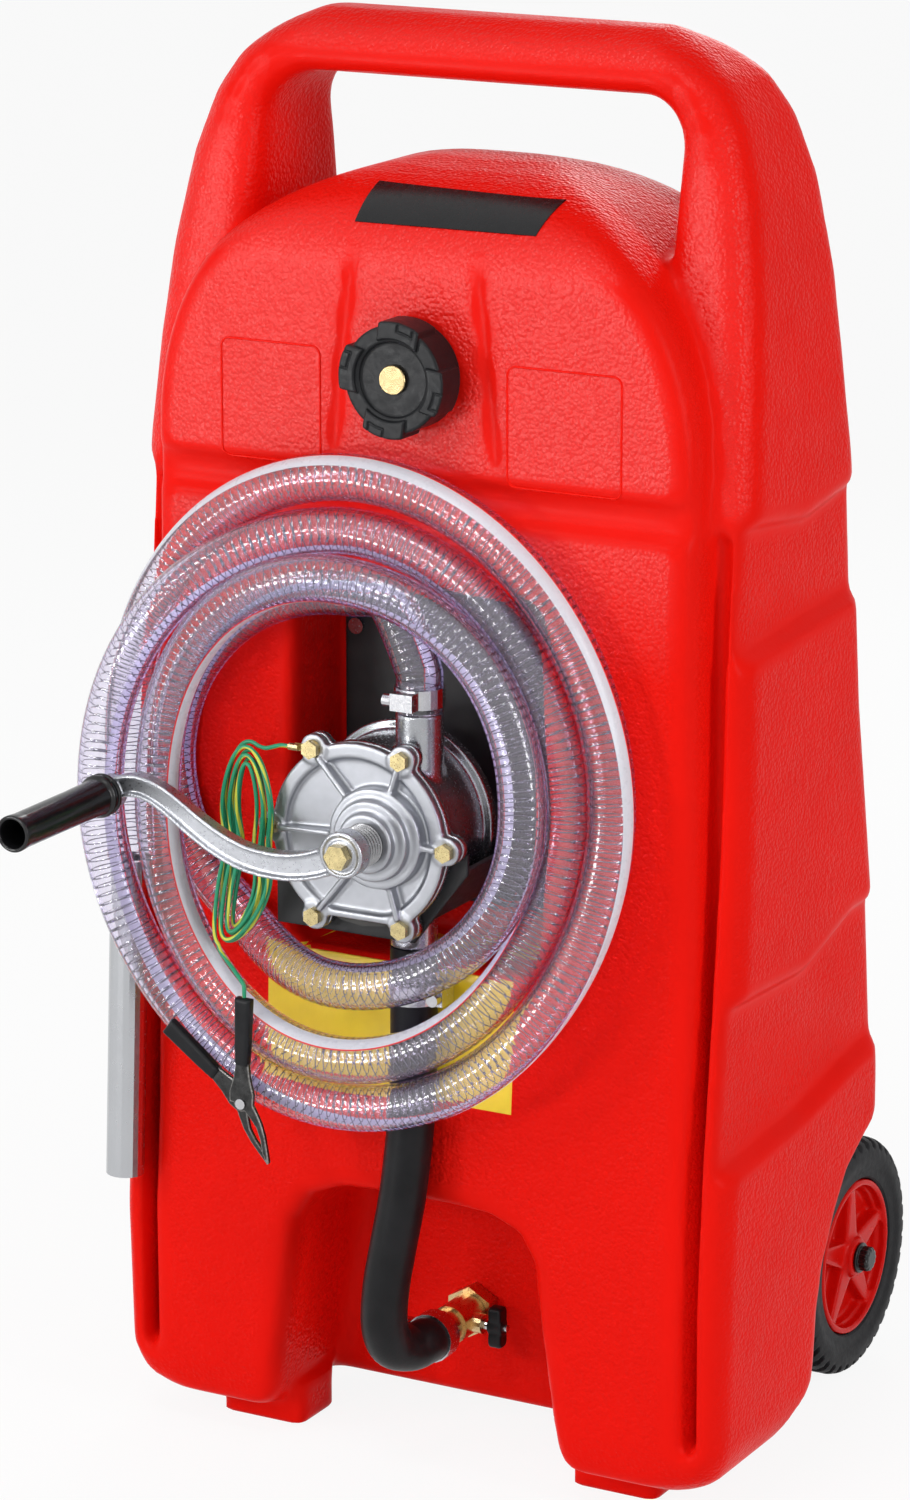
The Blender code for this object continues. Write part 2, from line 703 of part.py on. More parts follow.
def wheel_well(name, side, grow):
    """Space round one wheel, open to the side, the back and the ground."""
    outline = [(AXLE_Y + y * TYRE_RADIUS - grow, AXLE_Z + z * TYRE_RADIUS + grow)
               for y, z in WELL_SHARES]
    inner = side * (WELL_INNER_X - grow)
    outer = side * (HALF_WIDTH + OVERRUN)
    return prism(name, outline, "x", min(inner, outer), max(inner, outer))


def side_band(name, side, edges):
    """Shallow band pressed into a flank between two broken lines."""
    upper, lower = edges
    depth = FLANK_DEPTH
    places = [FLANK_FRONT_Y + share * depth for share in BAND_PLACE_SHARES]
    outline = [(y, z * HEIGHT) for y, z in zip(places, lower)]
    outline += [(y, z * HEIGHT) for y, z in zip(places[::-1], upper[::-1])]
    middle = HEIGHT * (upper[2] + lower[2]) / 2
    heights = [share[0] * HEIGHT for share in FLANK_SHARES]
    widths = [share[1] * HALF_WIDTH for share in FLANK_SHARES]
    inner = side * (float(np.interp(middle, heights, widths)) - BAND_DEPTH)
    outer = side * (HALF_WIDTH + OVERRUN)
    return prism(name, outline, "x", min(inner, outer), max(inner, outer))


def corner_groove(name, side, grow):
    """Upright channel between the body and a flank."""
    inner = side * (BODY_HALF_WIDTH * BODY_SHARES[-1][1] - grow)
    outer = side * (BODY_HALF_WIDTH * BODY_SHARES[-1][1] + GROOVE_WIDTH + grow)
    low = (min(inner, outer), FLANK_FRONT_Y - OVERRUN, GROOVE_BOTTOM_Z - grow)
    floor_y = FLANK_FRONT_Y + 0.11 * FLANK_DEPTH + GROOVE_DEPTH
    high = (max(inner, outer), floor_y + grow, GROOVE_TOP_Z + grow)
    return box(name, low, high)


def pump_recess(name, grow):
    """Recess that takes the pump's bracket and back end."""
    low = (-RECESS_HALF_WIDTH - grow, BODY_TOE_Y - OVERRUN - grow, RECESS_BOTTOM_Z - grow)
    high = (RECESS_HALF_WIDTH + grow, RECESS_BACK_Y + grow, RECESS_TOP_Z + grow)
    return box(name, low, high)


def footwell(name, grow):
    """Arched recess between the two front feet, open to the ground."""
    right = [(x * FOOTWELL_HALF_WIDTH + grow, z * FOOTWELL_TOP_Z + grow)
             for x, z in FOOTWELL_SHARES]
    right[0] = (right[0][0], right[0][1] - 2 * grow)
    outline = right + [(-x, z) for x, z in right[::-1]]
    return prism(name, outline, "y", FLANK_FRONT_Y - OVERRUN, FOOTWELL_BACK_Y + grow)


def panel_seam(name, grow):
    """Level groove across the body under the arch."""
    low = (-HALF_WIDTH, BODY_FACE_Y - OVERRUN, SEAM_TOP_Z - SEAM_HEIGHT - grow)
    high = (HALF_WIDTH, BODY_FACE_Y + SEAM_DEPTH + grow, SEAM_TOP_Z + grow)
    return box(name, low, high)


def tank_cavity():
    """Space inside the tank, a wall's thickness within its outside."""
    cavity = body_shell("guide_cavity", WALL, 2)
    flanks = flank_shell("guide_cavity_flanks", WALL + BAND_DEPTH, 0.78, every=2)
    join(cavity, flanks)
    cut(cavity, pump_recess("guide_recess_wall", WALL), footwell("guide_footwell_wall", WALL),
        panel_seam("guide_seam_wall", WALL))
    for side, tag in ((1, "right"), (-1, "left")):
        cut(cavity, wheel_well("guide_well_wall_" + tag, side, WALL))
        cut(cavity, corner_groove("guide_groove_wall_" + tag, side, WALL))
    join(cavity, cylinder("guide_neck_bore", "y", NECK_CENTRE, NECK_BORE_RADIUS,
                          -NECK_LENGTH - OVERRUN, WALL + OVERRUN, 32))
    join(cavity, cylinder("guide_outlet_bore", "y", (0, FOOTWELL_BACK_Y, VALVE_Z),
                          OUTLET_THREAD_RADIUS + GAP, -OVERRUN, WALL + OVERRUN, 20))
    return guide(cavity)


def build_tank(red):
    """Hollow tank with its handle, feet, recesses, filler neck and axle carrier."""
    tank = flank_shell("tank", 0.0, 1.0, red)
    cut(tank, handle_gap())
    for side, tag in ((1, "right"), (-1, "left")):
        for number, edges in enumerate(BAND_EDGE_SHARES):
            cut(tank, side_band(f"guide_band_{tag}_{number}", side, edges))
        cut(tank, corner_groove("guide_groove_" + tag, side, 0.0))
    join(tank, body_shell("guide_body", 0.0))
    for side, tag in ((1, "right"), (-1, "left")):
        cut(tank, wheel_well("guide_well_" + tag, side, 0.0))
    cut(tank, panel_seam("guide_seam", 0.0), pump_recess("guide_recess", 0.0),
        footwell("guide_footwell", 0.0))
    carrier_low = (-CARRIER_HALF_WIDTH, AXLE_Y - TYRE_RADIUS, CARRIER_BOTTOM_Z)
    carrier_high = (CARRIER_HALF_WIDTH, CARRIER_BACK_Y, CARRIER_TOP_Z)
    join(tank, box("guide_carrier", carrier_low, carrier_high))
    for side, tag in ((1, "right"), (-1, "left")):
        xs = sorted((side * FOOT_INNER_X, side * FOOT_OUTER_X))
        join(tank, box("guide_foot_" + tag, (xs[0], FOOT_FRONT_Y, 0),
                       (xs[1], FOOT_BACK_Y, FOOT_HEIGHT)))
    cut(tank, cylinder("guide_axle_bore", "x", (0, AXLE_Y, AXLE_Z),
                       AXLE_RADIUS + AXLE_CLEARANCE, -HALF_WIDTH, HALF_WIDTH, 20))
    for i, (x, z) in enumerate(screw_places()):
        cut(tank, cylinder(f"guide_screw_hole_{i}", "y", (x, RECESS_BACK_Y, z),
                           PLATE_SCREW_RADIUS + GAP, -OVERRUN,
                           PLATE_SCREW_LENGTH - BRACKET_THICKNESS + 2 * GAP, 8))
    join(tank, cylinder("guide_neck", "y", NECK_CENTRE, NECK_RADIUS, -NECK_LENGTH, WALL / 2, 32))
    cut(tank, tank_cavity())
    return tank


# Cap

def build_cap(black, rubber, brass):
    """Screw cap with grip lugs, its gasket and the vent screw in its middle."""
    centre = (0, CAP_BACK_Y, NECK_Z)
    inner = CAP_INNER_Y - CAP_BACK_Y
    dish = CAP_DISH_Y - CAP_BACK_Y
    front = -CAP_DEPTH
    bore = NECK_RADIUS + CAP_BORE_CLEARANCE
    hole = VENT_STEM_RADIUS + GAP
    profile = [
        (bore, 0), (CAP_RADIUS, 0), (CAP_RADIUS, front * 0.9), (CAP_RADIUS * 0.97, front),
        (CAP_DISH_RADIUS + WALL / 2, front), (CAP_DISH_RADIUS, dish), (hole, dish),
        (hole, inner), (bore, inner),
    ]
    cap = turned("fuel_cap", profile, "y", centre, 28, black, closed=True)
    for i in range(CAP_LUGS):
        angle = 2 * math.pi * (i + 0.5) / CAP_LUGS
        reach = Vector((math.cos(angle), 0, math.sin(angle)))
        side = Vector((-math.sin(angle), 0, math.cos(angle)))
        half = CAP_RADIUS * 0.4
        corners = [(CAP_RADIUS * 0.93, -half), (CAP_LUG_RADIUS, -half * 0.85),
                   (CAP_LUG_RADIUS, half * 0.85), (CAP_RADIUS * 0.93, half)]
        outline = [(reach * a + side * b) for a, b in corners]
        outline = [(p.x, p.z + NECK_Z) for p in outline]
        join(cap, prism(f"guide_cap_lug_{i}", outline, "y",
                        CAP_FRONT_Y + GAP, CAP_BACK_Y - CAP_DEPTH * 0.25))
    gasket_low = NECK_FRONT_Y - GAP - GASKET_THICKNESS - CAP_BACK_Y
    tube("cap_gasket", "y", centre, NECK_RADIUS, NECK_BORE_RADIUS, gasket_low,
         gasket_low + GASKET_THICKNESS, 24, rubber)
    head = dish - GAP
    vent = [(0, head - VENT_HEAD_HEIGHT), (VENT_HEAD_RADIUS * 0.94, head - VENT_HEAD_HEIGHT),
            (VENT_HEAD_RADIUS, head - VENT_HEAD_HEIGHT * 0.8), (VENT_HEAD_RADIUS, head),
            (VENT_STEM_RADIUS, head), (VENT_STEM_RADIUS, inner + WALL / 2),
            (0, inner + WALL / 2)]
    turned("vent_screw", vent, "y", centre, 16, brass)


# Wheels

# Distance from the axle in tyre radii, and place across in tyre widths
TYRE_SHARES = (
    (0.655, -0.45), (0.82, -0.50), (0.96, -0.46), (1.0, -0.3), (1.0, 0.3), (0.96, 0.46),
    (0.82, 0.50), (0.655, 0.45),
)


def build_wheel(tag, side, red, rubber):
    """Spoked plastic rim with its treaded tyre."""
    middle = side * (WHEEL_FACE_X - TYRE_WIDTH / 2)
    centre = (middle, AXLE_Y, AXLE_Z)
    seat = (RIM_RADIUS + GAP) / TYRE_RADIUS
    profile = [(max(r, seat) * TYRE_RADIUS, w * TYRE_WIDTH) for r, w in TYRE_SHARES]
    turned("tyre_" + tag, profile, "x", centre, 28, rubber, closed=True)
    half = TYRE_WIDTH * 0.45
    rim = tube("wheel_rim_" + tag, "x", centre, RIM_RADIUS, RIM_RADIUS - RIM_BAND,
               -half, half, 28, red)
    out = side * half
    for i in range(RIM_SPOKES):
        angle = math.pi / 2 + 2 * math.pi * i / RIM_SPOKES
        reach = Vector((math.cos(angle), math.sin(angle)))
        across = Vector((-math.sin(angle), math.cos(angle)))
        far = RIM_RADIUS - RIM_BAND / 2
        near = HUB_RADIUS * 0.7
        corners = [reach * near - across * RIM_SPOKE_WIDTH / 2,
                   reach * far - across * RIM_SPOKE_WIDTH * 0.4,
                   reach * far + across * RIM_SPOKE_WIDTH * 0.4,
                   reach * near + across * RIM_SPOKE_WIDTH / 2]
        outline = [(AXLE_Y + p.x, AXLE_Z + p.y) for p in corners]
        xs = sorted((middle + out * 0.8, middle + out * 0.8 - side * RIM_SPOKE_DEPTH))
        join(rim, prism(f"guide_spoke_{tag}_{i}", outline, "x", *xs))
    hub_inner = CARRIER_HALF_WIDTH + GAP
    hub = sorted((side * hub_inner - middle, side * WHEEL_FACE_X - middle))
    join(rim, cylinder("guide_hub_" + tag, "x", centre, HUB_RADIUS, *hub, sides=20))
    cut(rim, cylinder("guide_hub_bore_" + tag, "x", centre, AXLE_RADIUS + AXLE_CLEARANCE,
                      -WHEEL_FACE_X, WHEEL_FACE_X, 20))


def build_axle(steel, black):
    """Plain axle through the carrier with a push-on cap at each end."""
    end = WHEEL_FACE_X + AXLE_CAP_LENGTH - AXLE_CAP_FACE - GAP
    cylinder("axle", "x", (0, AXLE_Y, AXLE_Z), AXLE_RADIUS, -end, end, 20, steel)
    for side, tag in ((1, "right"), (-1, "left")):
        start = WHEEL_FACE_X + GAP
        far = WHEEL_FACE_X + AXLE_CAP_LENGTH
        floor = end + GAP
        bore = AXLE_RADIUS + GAP
        profile = [(bore, side * start), (AXLE_CAP_RADIUS, side * start),
                   (AXLE_CAP_RADIUS, side * (far - AXLE_CAP_FACE)),
                   (AXLE_CAP_RADIUS * 0.75, side * far), (0, side * far)]
        profile = [(0, side * floor), (bore, side * floor)] + profile
        turned("axle_cap_" + tag, profile, "x", (0, AXLE_Y, AXLE_Z), 14, black)


# Pump

def bolt_places():
    """Centres of the cover bolts, the first at the upper left."""
    angles = [math.radians(120 - 60 * i) for i in range(BOLT_COUNT)]
    return [(PUMP_X + BOLT_CIRCLE_RADIUS * math.cos(a), PUMP_Z + BOLT_CIRCLE_RADIUS * math.sin(a))
            for a in angles]


def lugs(target, prefix, low, high):
    """Round ears for the bolts, joined to a flange."""
    for i, (x, z) in enumerate(bolt_places()):
        join(target, cylinder(f"guide_{prefix}_lug_{i}", "y", (x, 0, z), LUG_RADIUS, low, high, 10))


def bolt_holes(target, prefix, low, high):
    """Clearance holes for the bolts."""
    for i, (x, z) in enumerate(bolt_places()):
        cut(target, cylinder(f"guide_{prefix}_hole_{i}", "y", (x, 0, z),
                             BOLT_SHANK_RADIUS + GAP, low, high, 8))


def build_housing(cast):
    """Pump housing: an open drum with an eccentric chamber and two hose spigots."""
    centre = (PUMP_X, 0, PUMP_Z)
    rim_start = HOUSING_BACK_Y - HOUSING_RIM_WIDTH
    profile = [
        (0, HOUSING_FRONT_Y), (FLANGE_RADIUS, HOUSING_FRONT_Y), (FLANGE_RADIUS, FLANGE_BACK_Y),
        (HOUSING_RADIUS, FLANGE_BACK_Y), (HOUSING_RADIUS, rim_start),
        (HOUSING_RIM_RADIUS, rim_start), (HOUSING_RIM_RADIUS, HOUSING_BACK_Y),
        (0, HOUSING_BACK_Y),
    ]
    housing = turned("pump_housing", profile, "y", centre, 28, cast)
    lugs(housing, "housing", HOUSING_FRONT_Y, FLANGE_BACK_Y)
    join(housing, cylinder("guide_outlet", "z", (OUTLET_X, SPIGOT_Y, 0), SPIGOT_RADIUS,
                           PUMP_Z + CHAMBER_RADIUS * 0.4, OUTLET_TOP_Z, 18))
    root = PUMP_Z - CHAMBER_RADIUS * 0.4
    inlet = [(0, INLET_END_Z), (SPIGOT_NECK_RADIUS, INLET_END_Z),
             (SPIGOT_NECK_RADIUS, INLET_COLLAR_Z), (SPIGOT_RADIUS, INLET_COLLAR_Z),
             (SPIGOT_RADIUS, root), (0, root)]
    join(housing, turned("guide_inlet", inlet, "z", (INLET_X, SPIGOT_Y, 0), 18))
    cut(housing, cylinder("guide_chamber", "y", centre, CHAMBER_RADIUS,
                          HOUSING_FRONT_Y - OVERRUN, HOUSING_BACK_Y - HOUSING_WALL, 28))
    cut(housing, cylinder("guide_outlet_way", "z", (OUTLET_X, SPIGOT_Y, 0), SPIGOT_BORE_RADIUS,
                          PUMP_Z + CHAMBER_RADIUS * 0.3, OUTLET_TOP_Z + OVERRUN, 14))
    cut(housing, cylinder("guide_inlet_way", "z", (INLET_X, SPIGOT_Y, 0), SPIGOT_BORE_RADIUS,
                          INLET_END_Z - OVERRUN, PUMP_Z - CHAMBER_RADIUS * 0.3, 14))
    cut(housing, cylinder("guide_rear_bearing", "y", (SHAFT_X, 0, SHAFT_Z), SHAFT_RADIUS + GAP,
                          HOUSING_BACK_Y - 2 * HOUSING_WALL, HOUSING_BACK_Y + OVERRUN, 20))
    bolt_holes(housing, "housing", HOUSING_FRONT_Y - OVERRUN, FLANGE_BACK_Y + GAP)
    return housing


def build_cover(cast, paper, rubber):
    """Ribbed cover with a stepped boss, its gasket, shaft seal and gland sleeve."""
    centre = (PUMP_X, 0, PUMP_Z)
    shaft = (SHAFT_X, 0, SHAFT_Z)
    cover = cylinder("pump_cover", "y", centre, FLANGE_RADIUS, COVER_FACE_Y, COVER_BACK_Y, 28, cast)
    lugs(cover, "cover", COVER_FACE_Y, COVER_BACK_Y)
    boss = [(0, COVER_FACE_Y + COVER_THICKNESS / 2), (BOSS_RADII[0], COVER_FACE_Y + COVER_THICKNESS / 2)]
    for step, radius in enumerate(BOSS_RADII):
        boss.append((radius, COVER_FACE_Y - BOSS_STEP * step))
        boss.append((radius, COVER_FACE_Y - BOSS_STEP * (step + 1)))
    boss.append((0, BOSS_FRONT_Y))
    join(cover, turned("guide_boss", boss, "y", shaft, 24))
    for i, (x, z) in enumerate(bolt_places()):
        start = Vector((SHAFT_X, SHAFT_Z))
        end = Vector((x, z))
        along = (end - start).normalized()
        across = Vector((-along.y, along.x)) * RIB_WIDTH / 2
        near = start + along * BOSS_RADII[0] * 0.8
        far = end - along * LUG_RADIUS * 0.9
        outline = [tuple(near - across), tuple(far - across), tuple(far + across), tuple(near + across)]
        join(cover, prism(f"guide_rib_{i}", outline, "y", COVER_FACE_Y - RIB_HEIGHT,
                          COVER_FACE_Y + COVER_THICKNESS / 2))
    cut(cover, cylinder("guide_cover_bore", "y", shaft, SHAFT_RADIUS + GAP,
                        BOSS_FRONT_Y - OVERRUN, COVER_BACK_Y + OVERRUN, 20))
    cut(cover, cylinder("guide_seal_seat", "y", shaft, SEAL_RADIUS + GAP,
                        BOSS_FRONT_Y - OVERRUN, BOSS_FRONT_Y + SEAL_LENGTH + 2 * GAP, 24))
    bolt_holes(cover, "cover", COVER_FACE_Y - OVERRUN, COVER_BACK_Y + OVERRUN)
    tube("cover_gasket", "y", centre, BOLT_CIRCLE_RADIUS - BOLT_SHANK_RADIUS - WALL / 3,
         CHAMBER_RADIUS + WALL / 3, COVER_BACK_Y + GAP,
         COVER_BACK_Y + GAP + COVER_GASKET_THICKNESS, 24, paper)
    tube("shaft_seal", "y", shaft, SEAL_RADIUS, SHAFT_RADIUS + GAP, BOSS_FRONT_Y + GAP,
         BOSS_FRONT_Y + GAP + SEAL_LENGTH, 18, rubber)
    tube("gland_sleeve", "y", shaft, SLEEVE_RADIUS, SHAFT_RADIUS + GAP, SLEEVE_FRONT_Y,
         SLEEVE_FRONT_Y + SLEEVE_LENGTH, 18, cast)
    return cover


def build_rotor(steel, plastic):
    """Shaft, slotted rotor and two vanes pressed in as far as the chamber allows."""
    offset = math.hypot(SHAFT_OFFSET_X, SHAFT_OFFSET_Z)
    reach = CHAMBER_RADIUS - offset - ROTOR_RUNNING_GAP
    low = HOUSING_FRONT_Y + ROTOR_RUNNING_GAP
    high = HOUSING_BACK_Y - HOUSING_WALL - ROTOR_RUNNING_GAP
    shaft = (SHAFT_X, 0, SHAFT_Z)
    end = CRANK_FRONT_Y + GAP
    rod = cylinder("pump_shaft", "y", shaft, SHAFT_RADIUS, end, HOUSING_BACK_Y - GAP, 20, steel)
    cut(rod, cylinder("guide_shaft_thread", "y", shaft, BOLT_SHANK_RADIUS + GAP, end - OVERRUN,
                      end + CRANK_BOLT_SHANK_LENGTH + 2 * GAP, 12))
    rotor = tube("pump_rotor", "y", shaft, reach, SHAFT_RADIUS + GAP, low, high, 24, steel)
    for i, sign in enumerate((1, -1)):
        inner = reach - VANE_HEIGHT
        zs = sorted((SHAFT_Z + sign * inner, SHAFT_Z + sign * (reach + OVERRUN)))
        half = VANE_THICKNESS / 2 + GAP
        cut(rotor, box(f"guide_slot_{i}", (SHAFT_X - half, low - OVERRUN, zs[0]),
                       (SHAFT_X + half, high + OVERRUN, zs[1])))
        half = VANE_THICKNESS / 2
        tip = reach - ROTOR_RUNNING_GAP
        zs = sorted((SHAFT_Z + sign * (inner + GAP), SHAFT_Z + sign * tip))
        box(f"rotor_vane_{i + 1}", (SHAFT_X - half, low + GAP, zs[0]),
            (SHAFT_X + half, high - GAP, zs[1]), plastic)


def build_bolts(brass):
    """Hexagon bolts round the cover; the first sits on the earth wire's lug."""
    for i, (x, z) in enumerate(bolt_places()):
        seat = COVER_FACE_Y - GAP
        if i == 0:
            seat -= LUG_PLATE + GAP
        tip = BRACKET_FRONT_Y + BRACKET_THICKNESS / 2 if z < PUMP_Z - RIB_WIDTH else FLANGE_BACK_Y
        bolt = cylinder(f"cover_bolt_{i + 1}", "y", (x, 0, z), BOLT_HEAD_RADIUS,
                        seat - BOLT_HEAD_HEIGHT, seat, 6, brass, phase=math.pi / 6)
        join(bolt, cylinder(f"guide_bolt_shank_{i}", "y", (x, 0, z), BOLT_SHANK_RADIUS,
                            seat - BOLT_HEAD_HEIGHT / 2, tip, 8))


def build_bracket(black, steel):
    """Folded bracket: a back plate in the recess, two arms and a flange for the pump."""
    plate_back = RECESS_BACK_Y - GAP
    plate_front = plate_back - BRACKET_THICKNESS
    bracket = box("pump_bracket", (-PLATE_HALF_WIDTH, plate_front, BRACKET_BOTTOM_Z),
                  (PLATE_HALF_WIDTH, plate_back, PLATE_TOP_Z), black)
    outline = [(BRACKET_LEFT_X, BRACKET_BOTTOM_Z), (BRACKET_CORNER_X, BRACKET_BOTTOM_Z),
               (BRACKET_RIGHT_X, BRACKET_SHOULDER_Z), (BRACKET_RIGHT_X, BRACKET_TOP_Z),
               (BRACKET_LEFT_X, BRACKET_TOP_Z)]
    join(bracket, prism("guide_flange", outline, "y", BRACKET_FRONT_Y, BRACKET_BACK_Y))
    join(bracket, box("guide_arm_left", (BRACKET_LEFT_X, BRACKET_FRONT_Y, BRACKET_BOTTOM_Z),
                      (BRACKET_LEFT_X + BRACKET_THICKNESS, plate_front + GAP, BRACKET_TOP_Z)))
    join(bracket, box("guide_arm_right",
                      (BRACKET_RIGHT_X - BRACKET_THICKNESS, BRACKET_FRONT_Y, BRACKET_SHOULDER_Z),
                      (BRACKET_RIGHT_X, plate_front + GAP, BRACKET_TOP_Z)))
    cut(bracket, cylinder("guide_bracket_drum", "y", (PUMP_X, 0, PUMP_Z),
                          HOUSING_RADIUS + 4 * GAP, BRACKET_FRONT_Y - GAP,
                          BRACKET_BACK_Y + WALL, 28))
    cut(bracket, cylinder("guide_bracket_inlet", "z", (INLET_X, SPIGOT_Y, 0),
                          SPIGOT_RADIUS + 3 * GAP, BRACKET_BOTTOM_Z - OVERRUN, PUMP_Z, 16))
    bolt_holes(bracket, "bracket", BRACKET_FRONT_Y - GAP, BRACKET_BACK_Y + WALL)
    for i, (x, z) in enumerate(screw_places()):
        cut(bracket, cylinder(f"guide_plate_hole_{i}", "y", (x, 0, z), PLATE_SCREW_RADIUS + GAP,
                              plate_front - WALL, plate_back + WALL, 8))
        seat = plate_front - GAP
        screw = cylinder(f"bracket_screw_{i + 1}", "y", (x, 0, z), PLATE_SCREW_HEAD_RADIUS,
                         seat - PLATE_SCREW_HEAD_HEIGHT, seat, 12, steel)
        join(screw, cylinder(f"guide_screw_{i}", "y", (x, 0, z), PLATE_SCREW_RADIUS,
                             seat - PLATE_SCREW_HEAD_HEIGHT / 2,
                             seat + PLATE_SCREW_LENGTH - GAP, 8))


def screw_places():
    """Corners of the bracket's back plate where it is screwed to the tank."""
    return [(side * x, z) for x, z in ((PLATE_SCREW_X, PLATE_SCREW_TOP_Z),
                                      (PLATE_SCREW_LOW_X, PLATE_SCREW_BOTTOM_Z))
            for side in (-1, 1)]


# Crank

# The arm's middle line from hub to eye, sideways and up, in crank reaches
ARM_SHARES = (
    (0.0, 0.0), (-0.12, -0.055), (-0.25, -0.082), (-0.40, -0.074), (-0.52, -0.035),
    (-0.62, 0.018), (-0.71, 0.075), (-0.79, 0.118), (-0.87, 0.137), (-0.94, 0.125),
    (-1.0, 0.0935),
)


def arm_line():
    """Middle line of the crank arm, as points across and up."""
    points = [(SHAFT_X + x * CRANK_LENGTH, 0.0, SHAFT_Z + z * CRANK_LENGTH) for x, z in ARM_SHARES]
    return smooth_path(points, 2)


def build_crank(cast, black, brass, steel):
    """Curved crank arm, hollowed in front, with its hub, bolt, grip pin and turning grip."""
    line = arm_line()
    tangents = np.gradient(line, axis=0)
    tangents /= np.linalg.norm(tangents, axis=1)[:, None]
    normals = np.stack((-tangents[:, 2], np.zeros(len(line)), tangents[:, 0]), axis=1)
    halves = np.linspace(CRANK_HUB_HALF_HEIGHT, CRANK_END_HALF_HEIGHT, len(line))
    web = CRANK_ARM_DEPTH * (1 - CRANK_WEB_SHARE)
    rings = []
    for point, normal, half in zip(line, normals, halves):
        inner = half - CRANK_RIM_WIDTH
        section = [
            (-half, 0), (-inner, 0), (-inner, web), (inner, web), (inner, 0), (half, 0),
            (half, CRANK_ARM_DEPTH), (-half, CRANK_ARM_DEPTH),
        ]
        rings.append([tuple(point + normal * a + np.array((0, ARM_FRONT_Y + b, 0)))
                      for a, b in section])
    arm = loft("crank_arm", rings, cast)
    shaft = (SHAFT_X, 0, SHAFT_Z)
    eye = (line[-1][0], 0, line[-1][2])
    join(arm, cylinder("guide_crank_hub", "y", shaft, CRANK_HUB_RADIUS, CRANK_FRONT_Y,
                       CRANK_BACK_Y, 28))
    join(arm, cylinder("guide_crank_eye", "y", eye, CRANK_EYE_RADIUS, ARM_FRONT_Y, ARM_BACK_Y, 20))
    cut(arm, cylinder("guide_crank_bore", "y", shaft, SHAFT_RADIUS + GAP,
                      CRANK_FRONT_Y - OVERRUN, CRANK_BACK_Y + OVERRUN, 20))
    cut(arm, cylinder("guide_eye_bore", "y", eye, GRIP_PIN_RADIUS + GAP,
                      ARM_FRONT_Y - OVERRUN, ARM_BACK_Y + OVERRUN, 16))
    seat = CRANK_FRONT_Y - GAP
    bolt = cylinder("crank_bolt", "y", shaft, CRANK_BOLT_RADIUS, seat - CRANK_BOLT_HEAD, seat,
                    6, brass)
    join(bolt, cylinder("guide_crank_shank", "y", shaft, BOLT_SHANK_RADIUS,
                        seat - CRANK_BOLT_HEAD / 2, seat + CRANK_BOLT_SHANK_LENGTH, 12))
    base = ARM_FRONT_Y - GAP
    front = base - GRIP_LENGTH
    bore = GRIP_RADIUS - GRIP_WALL
    hole = GRIP_PIN_RADIUS + GAP
    collar = GRIP_BASE_LENGTH / 4
    profile = [
        (hole, base), (GRIP_COLLAR_RADIUS, base), (GRIP_COLLAR_RADIUS, base - collar),
        (GRIP_RADIUS, base - collar), (GRIP_RADIUS, base - 2 * collar),
        (GRIP_COLLAR_RADIUS, base - 2 * collar), (GRIP_COLLAR_RADIUS, base - 3 * collar),
        (GRIP_RADIUS, base - 4 * collar), (GRIP_RADIUS, front + collar),
        (GRIP_RADIUS + GAP, front), (bore, front), (bore, base - GRIP_BASE_LENGTH),
        (hole, base - GRIP_BASE_LENGTH),
    ]
    turned("crank_grip", profile, "y", eye, 16, black, closed=True)
    pin_front = base - GRIP_BASE_LENGTH - GAP
    pin_back = ARM_BACK_Y + GAP
    pin = [(0, pin_front - GRIP_PIN_HEAD_HEIGHT), (GRIP_PIN_HEAD_RADIUS, pin_front - GRIP_PIN_HEAD_HEIGHT),
           (GRIP_PIN_HEAD_RADIUS, pin_front), (GRIP_PIN_RADIUS, pin_front),
           (GRIP_PIN_RADIUS, pin_back), (GRIP_PIN_HEAD_RADIUS, pin_back),
           (GRIP_PIN_HEAD_RADIUS, pin_back + GRIP_PIN_HEAD_HEIGHT), (0, pin_back + GRIP_PIN_HEAD_HEIGHT)]
    turned("grip_pin", pin, "y", eye, 14, steel)


# Suction line

# Middle line of the suction hose, from the pump's inlet down to the valve
SUCTION_ROUTE = (
    (INLET_X, SPIGOT_Y, INLET_COLLAR_Z - GAP), (INLET_X, SPIGOT_Y, 0.347),
    (INLET_X, SPIGOT_Y, 0.327), (0.0094, -0.2090, 0.300), (0.0088, -0.2102, 0.266),
    (0.0074, -0.2128, 0.235), (0.0042, -0.2158, 0.200), (-0.001, -0.2180, 0.168),
    (-0.0062, -0.2188, 0.138), (-0.0100, -0.2150, 0.110), (-0.0100, -0.2050, 0.0915),
    (-0.0044, -0.1900, 0.0850), (-0.0006, -0.1790, VALVE_Z), (0.0, -0.1710, VALVE_Z),
    (0.0, -0.1590, VALVE_Z),
)


